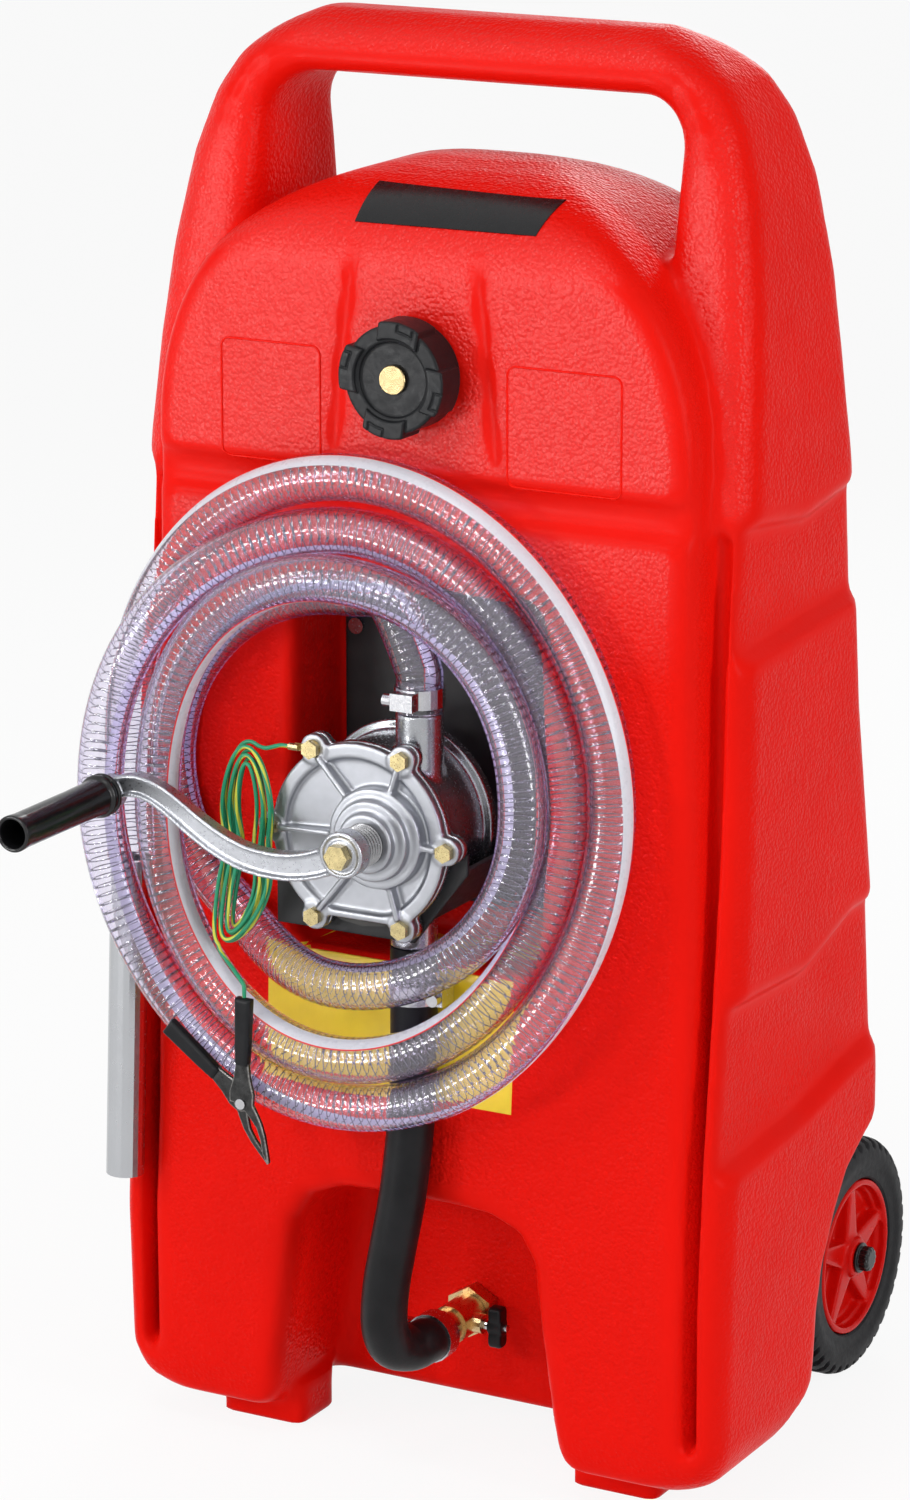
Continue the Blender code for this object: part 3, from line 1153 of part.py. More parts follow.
def build_clamp(name, axis, centre, hose_radius, screw_axis, block_side, band, steel):
    """Worm-drive clamp: a band with its screw block, and the screw through the block."""
    inner = hose_radius + GAP
    outer = inner + CLAMP_BAND_THICKNESS
    half = CLAMP_BAND_WIDTH / 2
    ring = tube(name, axis, centre, outer, inner, -half, half, 20, band)
    middle = Vector(centre) + Vector(block_side) * (outer + CLAMP_BLOCK_HEIGHT / 2 - GAP)
    spans = {"x": 0, "y": 1, "z": 2}
    size = [CLAMP_BLOCK_HEIGHT, CLAMP_BLOCK_HEIGHT, CLAMP_BLOCK_HEIGHT]
    size[spans[axis]] = CLAMP_BAND_WIDTH * 0.9
    size[spans[screw_axis]] = CLAMP_BLOCK_LENGTH
    low = [m - s / 2 for m, s in zip(middle, size)]
    high = [m + s / 2 for m, s in zip(middle, size)]
    join(ring, box("guide_block_" + name, low, high))
    bore = CLAMP_SCREW_RADIUS + GAP
    cut(ring, cylinder("guide_block_bore_" + name, screw_axis, tuple(middle), bore,
                       -CLAMP_BLOCK_LENGTH, CLAMP_BLOCK_LENGTH, 12))
    head = CLAMP_BLOCK_LENGTH / 2 + GAP
    profile = [(0, -head - CLAMP_SCREW_HEAD_LENGTH),
               (CLAMP_SCREW_HEAD_RADIUS, -head - CLAMP_SCREW_HEAD_LENGTH),
               (CLAMP_SCREW_HEAD_RADIUS, -head), (CLAMP_SCREW_RADIUS, -head),
               (CLAMP_SCREW_RADIUS, head), (0, head)]
    turned(name + "_screw", profile, screw_axis, tuple(middle), 12, steel)


def build_suction(black, brass, steel, band):
    """Suction hose, its two clamps, and the ball valve screwed into the footwell's back."""
    path = smooth_path(SUCTION_ROUTE, 2)
    swept_pipe("suction_hose", path, SUCTION_RADIUS, SUCTION_BORE_RADIUS, 12, black)
    build_clamp("inlet_clamp", "z", (INLET_X, SPIGOT_Y, CLAMP_INLET_Z),
                SUCTION_RADIUS, "y", (1, 0, 0), band, steel)
    build_clamp("valve_clamp", "y", (0, CLAMP_VALVE_Y, VALVE_Z),
                SUCTION_RADIUS, "z", (-1, 0, 0), band, steel)
    centre = (0, 0, VALVE_Z)
    bore = VALVE_BORE_RADIUS
    wall_y = FOOTWELL_BACK_Y
    hex_back = wall_y - GAP
    hex_front = hex_back - OUTLET_HEX_LENGTH
    nipple = cylinder("outlet_fitting", "y", centre, OUTLET_HEX_RADIUS, hex_front, hex_back,
                      6, brass, phase=math.pi / 6)
    join(nipple, cylinder("guide_outlet_thread", "y", centre, OUTLET_THREAD_RADIUS,
                          hex_back - GAP, hex_back + OUTLET_THREAD_LENGTH, 20))
    cut(nipple, cylinder("guide_fitting_bore", "y", centre, bore, hex_front - OVERRUN,
                         hex_back + OUTLET_THREAD_LENGTH + OVERRUN, 16))
    back = hex_front - GAP
    front = back - VALVE_BODY_LENGTH
    barb = front + VALVE_BARB_LENGTH
    ball_y = (back + barb) / 2
    chamber = BALL_RADIUS + GAP
    barb_radius = SUCTION_BORE_RADIUS - 3 * GAP
    body = [(bore, front), (barb_radius, front), (barb_radius, barb - GAP),
            (VALVE_BODY_RADIUS, barb - GAP), (VALVE_BODY_RADIUS, back), (chamber, back),
            (chamber, ball_y - chamber), (bore, ball_y - chamber)]
    valve = turned("valve_body", body, "y", centre, 18, brass, closed=True)
    ball_centre = (0, ball_y, VALVE_Z)
    join(valve, tube("guide_bonnet", "x", ball_centre, BONNET_RADIUS, STEM_RADIUS + GAP,
                     VALVE_BODY_RADIUS * 0.85, BONNET_REACH, 16))
    cut(valve, cylinder("guide_stem_bore", "x", ball_centre, STEM_RADIUS + GAP, 0, OVERRUN * 2, 16))
    steps = 6
    ball_profile = [(BALL_RADIUS * math.sin(math.pi * i / steps) if 0 < i < steps else 0,
                     -BALL_RADIUS * math.cos(math.pi * i / steps)) for i in range(steps + 1)]
    ball = turned("valve_ball", ball_profile, "x", ball_centre, 16, steel)
    cut(ball, cylinder("guide_ball_way", "z", ball_centre, bore, -OVERRUN, OVERRUN, 16))
    tee_low = TEE_STANDOFF
    cylinder("valve_stem", "x", ball_centre, STEM_RADIUS, BALL_RADIUS + GAP, tee_low - GAP, 16, brass)
    low = (tee_low, ball_y - TEE_WIDTH / 2, VALVE_Z - TEE_LENGTH / 2)
    high = (tee_low + TEE_THICKNESS, ball_y + TEE_WIDTH / 2, VALVE_Z + TEE_LENGTH / 2)
    tee = box("valve_handle", low, high, black)
    tee.modifiers.new("soft_edges", "BEVEL").width = TEE_THICKNESS / 5
    face = tee_low + TEE_THICKNESS + GAP
    cylinder("valve_handle_screw", "x", ball_centre, TEE_SCREW_RADIUS, face,
             face + TEE_SCREW_RADIUS, 12, steel)


# Delivery hose

def table_curve(table, place_along):
    """Catmull-Rom value of an evenly spaced table at fractional places along it."""
    table = np.array(table, dtype=float)
    last = len(table) - 1
    index = np.clip(np.floor(place_along).astype(int), 0, last - 1)
    f = place_along - index
    a = table[np.clip(index - 1, 0, last)]
    b = table[index]
    c = table[np.clip(index + 1, 0, last)]
    d = table[np.clip(index + 2, 0, last)]
    return b + 0.5 * f * (c - a + f * (2 * a - 5 * b + 4 * c - d + f * (3 * (b - c) + d - a)))


def coil_points(turns):
    """Hose coil: an uneven spiral about the pump that passes between two layers."""
    since = turns - COIL_FIRST_TURN
    reach = COIL_PITCH * table_curve(COIL_REACH_SHARES, since * 4)
    layer = HOSE_LAYER_STEP * np.maximum(table_curve(COIL_LAYER_SHARES, since * 8), 0.0)
    angle = 2 * np.pi * turns
    return np.stack((COIL_CENTRE_X + reach * np.cos(angle), HOSE_BACK_Y - layer,
                     COIL_CENTRE_Z + reach * np.sin(angle)), axis=1)


def least_gap(points, radius, skip):
    """Smallest clear distance of a round tube to itself, past skip points along it."""
    gaps = np.linalg.norm(points[:, None] - points[None], axis=2)
    index = np.arange(len(points))
    gaps[np.abs(index[:, None] - index[None]) < skip] = np.inf
    return float(gaps.min()) - 2 * radius


def end_direction(end, inner):
    """Unit direction that carries a path on past its end."""
    step = np.array(end) - np.array(inner)
    return step / np.linalg.norm(step)


def build_delivery(clear, aluminium, band, steel):
    """Clear hose: rise from the outlet, coil, drop at the left, and the metal spout."""
    count = int(round((COIL_LAST_TURN - COIL_FIRST_TURN) * COIL_POINTS_PER_TURN)) + 1
    turns = np.linspace(COIL_FIRST_TURN, COIL_LAST_TURN, count)
    coil = coil_points(turns)
    dense = coil_points(np.linspace(COIL_FIRST_TURN, COIL_LAST_TURN, 6 * count))
    gap = least_gap(dense, DELIVERY_RADIUS, 3 * COIL_POINTS_PER_TURN)
    print(f"delivery hose coil: least gap to itself {gap * 1000:.2f} mm")
    cord_curve("delivery_hose_coil", coil, DELIVERY_RADIUS, 1, clear)
    run = 2 * DELIVERY_RADIUS
    bottom = OUTLET_TOP_Z + GAP
    away = end_direction(coil[0], coil[1])
    rise = [
        (OUTLET_X, SPIGOT_Y, bottom), (OUTLET_X, SPIGOT_Y, bottom + run * 0.8),
        tuple(coil[0] + away * run * 0.8), tuple(coil[0] + away * GAP),
    ]
    cord_curve("delivery_hose_rise", cord_path(rise, 6), DELIVERY_RADIUS, 2, clear)
    away = end_direction(coil[-1], coil[-2])
    end = coil[-1] + away * GAP
    top = np.array((end[0], end[1] - 2 * DELIVERY_STANDOFF, SPOUT_TOP_Z))
    foot_y = FLANK_FRONT_Y - SPOUT_RADIUS - 2 * DELIVERY_STANDOFF
    foot = np.array((end[0] - SPOUT_LEAN, foot_y, SPOUT_BOTTOM_Z))
    up = end_direction(top, foot)
    drop = [tuple(end), tuple(end + away * run * 0.5), tuple(top + up * run * 0.5),
            tuple(top + up * GAP)]
    cord_curve("delivery_hose_drop", cord_path(drop, 4), DELIVERY_RADIUS, 2, clear)
    swept_pipe("spout", np.array((foot, top)), SPOUT_RADIUS, SPOUT_RADIUS - SPOUT_WALL, 20,
               aluminium)
    build_clamp("outlet_clamp", "z", (OUTLET_X, SPIGOT_Y, CLAMP_OUTLET_Z),
                DELIVERY_RADIUS, "x", (0, -1, 0), band, steel)


# Earth wire

def hank_points(loops):
    """Wire hank: tall loops wound inwards at the back, then outwards in front.

    Each loop is drawn in at the waist and leans to the left at its foot.
    """
    half = HANK_LOOPS / 2
    spread = HANK_LOOP_STEP * np.abs(loops - half)
    layer = HANK_LAYER_STEP * np.clip((loops - half) * 2 + 0.5, 0.0, 1.0)
    angle = HANK_START - 2 * np.pi * loops
    height = (HANK_HALF_HEIGHT + spread) * np.cos(angle)
    waist = 1 - HANK_WAIST_SHARE * np.exp(-(height / HANK_WAIST_SPAN) ** 2)
    width = (HANK_HALF_WIDTH * waist + spread) * np.sin(angle)
    lean = HANK_FLARE * np.minimum(height / HANK_HALF_HEIGHT, 0.0) ** 2
    return np.stack((HANK_X + width - lean, HANK_Y - layer, HANK_Z + height), axis=1)


def build_earth(green, brass, black, steel):
    """Earth wire from its lug under a cover bolt, through a hank, to a spring clip."""
    x, z = bolt_places()[0]
    plate_back = COVER_FACE_Y - GAP
    plate_front = plate_back - LUG_PLATE
    lug = cylinder("earth_lug", "y", (x, 0, z), LUG_RING_RADIUS, plate_front, plate_back, 14, brass)
    tab_end = x - LUG_RING_RADIUS - LUG_TAB_LENGTH
    join(lug, box("guide_lug_tab", (tab_end, plate_front, z - LUG_TAB_HALF_WIDTH),
                  (x - LUG_RING_RADIUS * 0.7, plate_back, z + LUG_TAB_HALF_WIDTH)))
    barrel_y = plate_front - LUG_BARREL_RADIUS * 0.6
    join(lug, cylinder("guide_lug_barrel", "x", (tab_end, barrel_y, z), LUG_BARREL_RADIUS,
                       -LUG_BARREL_LENGTH / 2, LUG_BARREL_LENGTH / 2, 8))
    cut(lug, cylinder("guide_lug_hole", "y", (x, 0, z), BOLT_SHANK_RADIUS + GAP,
                      plate_front - OVERRUN, plate_back + OVERRUN, 8))
    count = int(HANK_LOOPS * HANK_POINTS_PER_TURN) + 1
    hank = hank_points(np.linspace(0, HANK_LOOPS, count))
    dense = hank_points(np.linspace(0, HANK_LOOPS, 6 * count))
    gap = least_gap(dense, WIRE_RADIUS, 3 * HANK_POINTS_PER_TURN)
    print(f"earth wire hank: least gap to itself {gap * 1000:.2f} mm")
    cord_curve("earth_wire_hank", hank, WIRE_RADIUS, 1, green)
    wire_x = tab_end - LUG_BARREL_LENGTH / 2 - GAP
    away = end_direction(hank[0], hank[1])
    lead = [
        (wire_x, barrel_y, z), (wire_x - 4 * WIRE_RADIUS, barrel_y, z),
        tuple(hank[0] + away * 4 * WIRE_RADIUS), tuple(hank[0] + away * GAP),
    ]
    cord_curve("earth_wire_lead", cord_path(lead, 5), WIRE_RADIUS, 2, green)
    out = end_direction(hank[-1], hank[-2])
    leave = hank[-1] + out * GAP
    top = clip_point(CLIP_HANDLE_LENGTH, 0.0, CLIP_HANDLE_ANGLES[0])
    clip_y = CLIP_FRONT_Y + CLIP_PLATE / 2
    tail = [
        tuple(leave), tuple(leave + out * 3 * WIRE_RADIUS),
        (top[0], clip_y, top[1] + 6 * WIRE_RADIUS), (top[0], clip_y, top[1] + GAP),
    ]
    cord_curve("earth_wire_tail", cord_path(tail, 6), WIRE_RADIUS, 2, green)
    build_clip(black, steel)


def clip_point(along, across, angle):
    """Point of the clip at a distance along and across a direction from its pivot."""
    x = CLIP_PIVOT_X + along * math.cos(angle) - across * math.sin(angle)
    z = CLIP_PIVOT_Z + along * math.sin(angle) + across * math.cos(angle)
    return x, z


def clip_half(name, handle_angle, jaw_side, low, material):
    """Flat half of the clip, with its sleeved handle on one side and jaw on the other."""
    outline = []
    for along, half in CLIP_HANDLE_SHARES:
        outline.append(clip_point(along * CLIP_HANDLE_LENGTH, half * CLIP_HANDLE_LENGTH, handle_angle))
    edge = [clip_point(along * CLIP_JAW_LENGTH, jaw_side * half * CLIP_JAW_LENGTH, CLIP_JAW_ANGLE)
            for along, half in CLIP_JAW_SHARES]
    middle = [clip_point(along * CLIP_JAW_LENGTH, jaw_side * GAP, CLIP_JAW_ANGLE)
              for along, _ in CLIP_JAW_SHARES[::-1]]
    back = [clip_point(along * CLIP_HANDLE_LENGTH, -half * CLIP_HANDLE_LENGTH, handle_angle)
            for along, half in CLIP_HANDLE_SHARES[::-1]]
    pivot = (CLIP_PIVOT_X, low, CLIP_PIVOT_Z)
    handle = prism(name, outline + back, "y", low, low + CLIP_PLATE, material, pivot)
    join(handle, prism("guide_jaw_" + name, edge + middle, "y", low, low + CLIP_PLATE))
    join(handle, cylinder("guide_eye_" + name, "y", (CLIP_PIVOT_X, 0, CLIP_PIVOT_Z),
                          CLIP_JAW_LENGTH * 0.125, low, low + CLIP_PLATE, 20))
    half = CLIP_SLEEVE_WIDTH / 2
    sleeve = [clip_point(CLIP_HANDLE_LENGTH * a, b * half, handle_angle)
              for a, b in ((0.42, -1), (1.0, -0.8), (1.0, 0.8), (0.42, 1))]
    spare = (CLIP_SLEEVE_THICKNESS - CLIP_PLATE) / 2
    join(handle, prism("guide_sleeve_" + name, sleeve, "y", low - spare, low + CLIP_PLATE + spare))
    cut(handle, cylinder("guide_pivot_" + name, "y", (CLIP_PIVOT_X, 0, CLIP_PIVOT_Z),
                         CLIP_PIVOT_RADIUS + GAP, low - OVERRUN, low + OVERRUN, 16))
    return handle


def build_clip(black, steel):
    """Spring clip: two halves that cross on a rivet, with a coil spring round it."""
    rear_low = CLIP_FRONT_Y + CLIP_PLATE + GAP
    clip_half("clip_half_fixed", CLIP_HANDLE_ANGLES[0], 1, CLIP_FRONT_Y, black)
    clip_half("clip_half_moving", CLIP_HANDLE_ANGLES[1], -1, rear_low, black)
    centre = (CLIP_PIVOT_X, 0, CLIP_PIVOT_Z)
    front = CLIP_FRONT_Y - GAP
    back = rear_low + CLIP_PLATE + GAP
    rivet = [(0, front - CLIP_PIVOT_HEAD), (CLIP_PIVOT_HEAD_RADIUS, front - CLIP_PIVOT_HEAD),
             (CLIP_PIVOT_HEAD_RADIUS, front), (CLIP_PIVOT_RADIUS, front),
             (CLIP_PIVOT_RADIUS, back), (CLIP_PIVOT_HEAD_RADIUS, back),
             (CLIP_PIVOT_HEAD_RADIUS, back + CLIP_PIVOT_HEAD), (0, back + CLIP_PIVOT_HEAD)]
    turned("clip_rivet", rivet, "y", centre, 12, steel)


def main():
    """Build every piece."""
    red = make_material("red_polyethylene", (0.72, 0.02, 0.015), 0.45)
    rim_red = make_material("red_rim_plastic", (0.65, 0.02, 0.02), 0.35)
    black = make_material("black_plastic", (0.03, 0.03, 0.032), 0.45)
    powder = make_material("black_powder_coat", (0.035, 0.035, 0.038), 0.5, 0.3)
    rubber = make_material("black_rubber", (0.03, 0.03, 0.03), 0.75)
    cast = make_material("cast_aluminium", (0.62, 0.63, 0.65), 0.42, 0.9)
    aluminium = make_material("drawn_aluminium", (0.72, 0.73, 0.75), 0.3, 1.0)
    steel = make_material("bright_steel", (0.66, 0.66, 0.68), 0.3, 1.0)
    brass = make_material("yellow_brass", (0.72, 0.52, 0.22), 0.3, 1.0)
    clear = make_material("clear_hose", (0.80, 0.80, 0.86), 0.15, 0.0, 0.45)
    green = make_material("earth_wire_jacket", (0.10, 0.50, 0.22), 0.4)
    paper = make_material("gasket_fibre", (0.30, 0.28, 0.25), 0.8)
    build_tank(red)
    build_cap(black, rubber, brass)
    for side, tag in ((1, "right"), (-1, "left")):
        build_wheel(tag, side, rim_red, rubber)
    build_axle(steel, black)
    build_housing(cast)
    build_cover(cast, paper, rubber)
    build_rotor(steel, black)
    build_bolts(brass)
    build_bracket(powder, steel)
    build_crank(cast, black, brass, steel)
    build_suction(rubber, brass, steel, steel)
    build_delivery(clear, aluminium, steel, steel)
    build_earth(green, brass, black, steel)


clear_scene()
ORIGIN = bpy.data.objects.new("caddy_origin", None)
bpy.context.scene.collection.objects.link(ORIGIN)
ORIGIN.location = (0, GROUND_SHIFT_Y, 0)
main()
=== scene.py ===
import math

import bmesh
import bpy
import numpy as np
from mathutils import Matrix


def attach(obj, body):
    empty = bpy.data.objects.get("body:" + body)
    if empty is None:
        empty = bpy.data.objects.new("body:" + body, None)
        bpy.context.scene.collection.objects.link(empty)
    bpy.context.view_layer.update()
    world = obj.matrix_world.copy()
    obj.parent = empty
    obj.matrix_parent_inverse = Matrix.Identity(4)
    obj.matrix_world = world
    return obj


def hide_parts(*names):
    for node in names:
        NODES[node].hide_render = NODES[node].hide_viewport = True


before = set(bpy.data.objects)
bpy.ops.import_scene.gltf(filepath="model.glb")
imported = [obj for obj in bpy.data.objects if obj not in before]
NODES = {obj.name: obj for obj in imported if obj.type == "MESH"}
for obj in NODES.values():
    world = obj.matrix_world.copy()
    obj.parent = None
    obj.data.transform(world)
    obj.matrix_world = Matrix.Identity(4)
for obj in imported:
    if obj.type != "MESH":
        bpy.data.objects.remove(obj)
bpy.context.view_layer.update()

# The part's own drawing has its origin this far in front of the frame's
SHIFT_Y = 0.1004833
SHIFT = np.array((0.0, SHIFT_Y, 0.0))


# Camera

camera_data = bpy.data.cameras.new("photo_camera")
camera_data.sensor_width = 36.0
camera_data.lens = 124.18
camera_data.clip_end = 50.0
camera = bpy.data.objects.new("photo_camera", camera_data)
camera.location = (1.5630, -2.8859, 1.3607)
camera.rotation_euler = (math.radians(90 - 15.1124), 0.0, math.radians(28.7421))
bpy.context.scene.collection.objects.link(camera)
bpy.context.scene.camera = camera
bpy.context.scene.view_settings.view_transform = "Standard"


# Meshes

def place_mesh(name, points, faces, finish, replaces=(), slot=None, body="chassis", angle=35):
    """Mesh object of a body from points and faces, doubles merged, faces outwards."""
    mesh = bpy.data.meshes.new(name)
    mesh.from_pydata(points.reshape(-1, 3).tolist(), [], faces.tolist())
    bm = bmesh.new()
    bm.from_mesh(mesh)
    bmesh.ops.remove_doubles(bm, verts=bm.verts, dist=1e-6)
    bmesh.ops.recalc_face_normals(bm, faces=bm.faces)
    bm.to_mesh(mesh)
    bm.free()
    mesh.materials.append(finish)
    mesh.shade_smooth()
    mesh.set_sharp_from_angle(angle=math.radians(angle))
    piece = bpy.data.objects.new(name, mesh)
    bpy.context.scene.collection.objects.link(piece)
    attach(piece, body)
    if replaces:
        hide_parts(*replaces)
    return piece


def unit(directions):
    """Directions made one long."""
    return directions / np.linalg.norm(directions, axis=-1, keepdims=True)


def round_angles(sides):
    """So many even angles round a circle."""
    return 2 * np.pi * np.arange(sides) / sides


def ring_faces(rings, sides, closed=False):
    """Quads between rings of points, the last ring joined to the first where closed."""
    ring = np.arange(rings if closed else rings - 1)[:, None]
    side = np.arange(sides)[None, :]
    next_ring, next_side = (ring + 1) % rings, (side + 1) % sides
    corners = (ring * sides + side, ring * sides + next_side,
               next_ring * sides + next_side, next_ring * sides + side)
    return np.stack(np.broadcast_arrays(*corners), -1).reshape(-1, 4)


def turn_profile(profile, x, z, sides):
    """Points and faces of a profile of (radius, y) turned about the line along Y at (x, z).

    Each point is (x + radius cos a, y, z + radius sin a).
    """
    radius, along = (column[:, None] for column in profile.T)
    angle = round_angles(sides)
    points = np.broadcast_arrays(x + radius * np.cos(angle), along + SHIFT_Y,
                                 z + radius * np.sin(angle))
    return np.stack(points, -1), ring_faces(len(profile), sides)


def round_profile(corners, radius, steps):
    """Profile whose corners are rounded, each by a quadratic curve that starts a radius away."""
    out = [corners[:1]]
    share = np.linspace(0, 1, steps + 1)[:, None]
    for before, corner, after in zip(corners[:-2], corners[1:-1], corners[2:]):
        back, ahead = before - corner, after - corner
        reach = min(radius, np.linalg.norm(back) / 2, np.linalg.norm(ahead) / 2)
        first, last = corner + unit(back) * reach, corner + unit(ahead) * reach
        out.append((1 - share) ** 2 * first + 2 * share * (1 - share) * corner + share ** 2 * last)
    return np.vstack((*out, corners[-1:]))


# Cords

def smooth_line(points, per_stretch):
    """Catmull-Rom line through given points, read per_stretch times between two."""
    points = np.array(points, float)
    padded = np.vstack((2 * points[0] - points[1], points, 2 * points[-1] - points[-2]))
    a, b, c, d = (padded[i:len(padded) - 3 + i, None] for i in range(4))
    f = (np.arange(per_stretch) / per_stretch)[None, :, None]
    line = 0.5 * (2 * b + f * (c - a) + f ** 2 * (2 * a - 5 * b + 4 * c - d)
                  + f ** 3 * (3 * b - a - 3 * c + d))
    return np.vstack((line.reshape(-1, 3), points[-1:]))


def straight_ended(points, per_stretch):
    """Smooth line whose first and last stretches stay straight."""
    middle = smooth_line(points, per_stretch)[per_stretch:-per_stretch]
    return np.vstack((points[0], middle, points[-1]))


def read_table(table, places):
    """Catmull-Rom value of an evenly spaced table at fractional places along it."""
    table = np.array(table, float)
    last = len(table) - 1
    index = np.clip(np.floor(places).astype(int), 0, last - 1)
    f = places - index
    a, b, c, d = (table[np.clip(index + i, 0, last)] for i in (-1, 0, 1, 2))
    return b + 0.5 * f * (c - a + f * (2 * a - 5 * b + 4 * c - d + f * (3 * (b - c) + d - a)))


def onward(end, inner):
    """Unit direction that carries a line on past its end."""
    return unit(np.array(end) - np.array(inner))


def line_frames(line):
    """Front and side directions of a line: front leans to -Y, side is along x front."""
    along = unit(np.gradient(line, axis=0))
    front = unit(np.array((0.0, -1.0, 0.0)) + along * along[:, 1:2])
    return front, np.cross(along, front)


def lengths_along(line):
    """Distance of each point of a line from its start."""
    steps = np.linalg.norm(np.diff(line, axis=0), axis=1)
    return np.concatenate(([0.0], np.cumsum(steps)))


def read_along(table, along, places):
    """Rows of a table at places along a line, read between those of its points."""
    return np.stack([np.interp(places, along, table[:, i]) for i in range(3)], 1)


def evenly(line, step):
    """The same line read at even steps."""
    along = lengths_along(line)
    count = max(2, int(round(along[-1] / step)) + 1)
    return read_along(line, along, np.linspace(0, along[-1], count))


def rings_about(line, radius, angles, front, side):
    """Rings round a line: each point is line + radius (cos a front + sin a side)."""
    a = angles[..., None]
    return line[:, None] + radius * (np.cos(a) * front[:, None] + np.sin(a) * side[:, None])


def pipe(line, radius, bore, sides, front, side):
    """Points and faces of a pipe round a line: its outside and its bore, joined at both ends."""
    outer, inner = (rings_about(line, r, round_angles(sides), front, side) for r in (radius, bore))
    return np.concatenate((outer, inner[::-1])), ring_faces(2 * len(line), sides, closed=True)


def solid_cord(rings):
    """Points and faces of a tube through rings, closed by its own end points."""
    first, last = (np.repeat(end.mean(1, keepdims=True), rings.shape[1], 1)
                   for end in (rings[:1], rings[-1:]))
    rings = np.concatenate((first, rings, last))
    return rings, ring_faces(*rings.shape[:2])


GAP = 0.0003
HOSE_RADIUS, HOSE_BORE_RADIUS = 0.01525, 0.0122
HOSE_BACK_Y, HOSE_LAYER_STEP = -0.20685, 0.0312
COIL_CENTRE_X, COIL_CENTRE_Z, COIL_PITCH, COIL_TURNS = -0.036, 0.470, 0.0312, (0.25, 3.5)
COIL_REACH_SHARES = (
    4.12, 4.369, 3.893, 4.523, 4.657, 4.105, 5.479, 4.984,
    5.396, 5.366, 6.532, 6.024, 6.52, 5.45,
)
COIL_LAYER_SHARES = (
    0.0, 0.0, 0.0, 0.0, 1.15, 1.15, 1.12, 0.887, 1.115, 1.074, 1.0, 1.05, 1.248,
    0.901, 0.0, 0.0, 0.0, 0.97, 1.24, 1.099, 1.172, 0.95, 0.1, 0.0, 0.0, 0.0, 0.0,
)
OUTLET_X, OUTLET_Y, OUTLET_TOP_Z = 0.0141, -0.2088, 0.5275
SPOUT_TOP_Z, SPOUT_BOTTOM_Z, SPOUT_RADIUS, SPOUT_LEAN = 0.400, 0.1806, 0.0128, 0.0035
HOSE_STANDOFF, FLANK_Y = 0.0006, -0.201


def coil_line(turns):
    """Hose coil: an uneven spiral about the pump that passes between two layers."""
    wound = turns - COIL_TURNS[0]
    reach = COIL_PITCH * read_table(COIL_REACH_SHARES, wound * 4)
    layer = HOSE_LAYER_STEP * np.maximum(read_table(COIL_LAYER_SHARES, wound * 8), 0.0)
    angle = 2 * np.pi * turns
    return np.stack((COIL_CENTRE_X + reach * np.cos(angle), HOSE_BACK_Y - layer,
                     COIL_CENTRE_Z + reach * np.sin(angle)), axis=1)


def hose_route():
    """Middle line of the clear hose from the pump's outlet to the spout."""
    coarse, coil = (coil_line(np.linspace(*COIL_TURNS, count)) for count in (79, 625))
    run = 2 * HOSE_RADIUS
    bottom = OUTLET_TOP_Z + GAP
    away = onward(coarse[0], coarse[1])
    rise = straight_ended([
        (OUTLET_X, OUTLET_Y, bottom), (OUTLET_X, OUTLET_Y, bottom + run * 0.8),
        coil[0] + away * run * 0.8, coil[0] + away * GAP], 24)
    away = onward(coarse[-1], coarse[-2])
    end = coil[-1] + away * GAP
    top = np.array((end[0], end[1] - 2 * HOSE_STANDOFF, SPOUT_TOP_Z))
    foot = np.array((end[0] - SPOUT_LEAN, FLANK_Y - SPOUT_RADIUS - 2 * HOSE_STANDOFF,
                     SPOUT_BOTTOM_Z))
    up = onward(top, foot)
    drop = straight_ended([end, end + away * run * 0.5, top + up * run * 0.5, top + up * GAP], 16)
    return np.vstack((rise, coil[1:-1], drop)) + SHIFT


WIRE_RADIUS = 0.0014
HANK_X, HANK_Y, HANK_Z = -0.0890, -0.2470, 0.4338
HANK_HALF_HEIGHT, HANK_HALF_WIDTH, HANK_FLARE = 0.0545, 0.0075, 0.012
HANK_START, HANK_LOOPS, HANK_LOOP_STEP, HANK_LAYER_STEP = math.radians(15), 5.514, 0.0055, 0.0042
HANK_WAIST_SHARE, HANK_WAIST_SPAN = 0.55, 0.02
COVER_FACE_Y, LUG_BOLT_X, LUG_BOLT_Z, LUG_PLATE = -0.240, -0.04655, 0.50249, 0.0008
LUG_RING_RADIUS, LUG_TAB_LENGTH, LUG_BARREL_LENGTH, LUG_BARREL_RADIUS = 0.006, 0.0065, 0.007, 0.0024
CLIP_X, CLIP_Z, CLIP_FRONT_Y, CLIP_PLATE = -0.0866, 0.2651, -0.2673, 0.0034
CLIP_HANDLE_LENGTH, CLIP_JAW_LENGTH = 0.072, 0.043
CLIP_HANDLE_ANGLES = (math.radians(88), math.radians(143))
CLIP_JAW_ANGLE = math.radians(295.5)


def hank_line(loops):
    """Wire hank: tall loops wound inwards at the back, then outwards in front."""
    half = HANK_LOOPS / 2
    outward = HANK_LOOP_STEP * np.abs(loops - half)
    layer = HANK_LAYER_STEP * np.clip((loops - half) * 2 + 0.5, 0.0, 1.0)
    angle = HANK_START - 2 * np.pi * loops
    height = (HANK_HALF_HEIGHT + outward) * np.cos(angle)
    waist = 1 - HANK_WAIST_SHARE * np.exp(-(height / HANK_WAIST_SPAN) ** 2)
    width = (HANK_HALF_WIDTH * waist + outward) * np.sin(angle)
    lean = HANK_FLARE * np.minimum(height / HANK_HALF_HEIGHT, 0.0) ** 2
    return np.stack((HANK_X + width - lean, HANK_Y - layer, HANK_Z + height), axis=1)


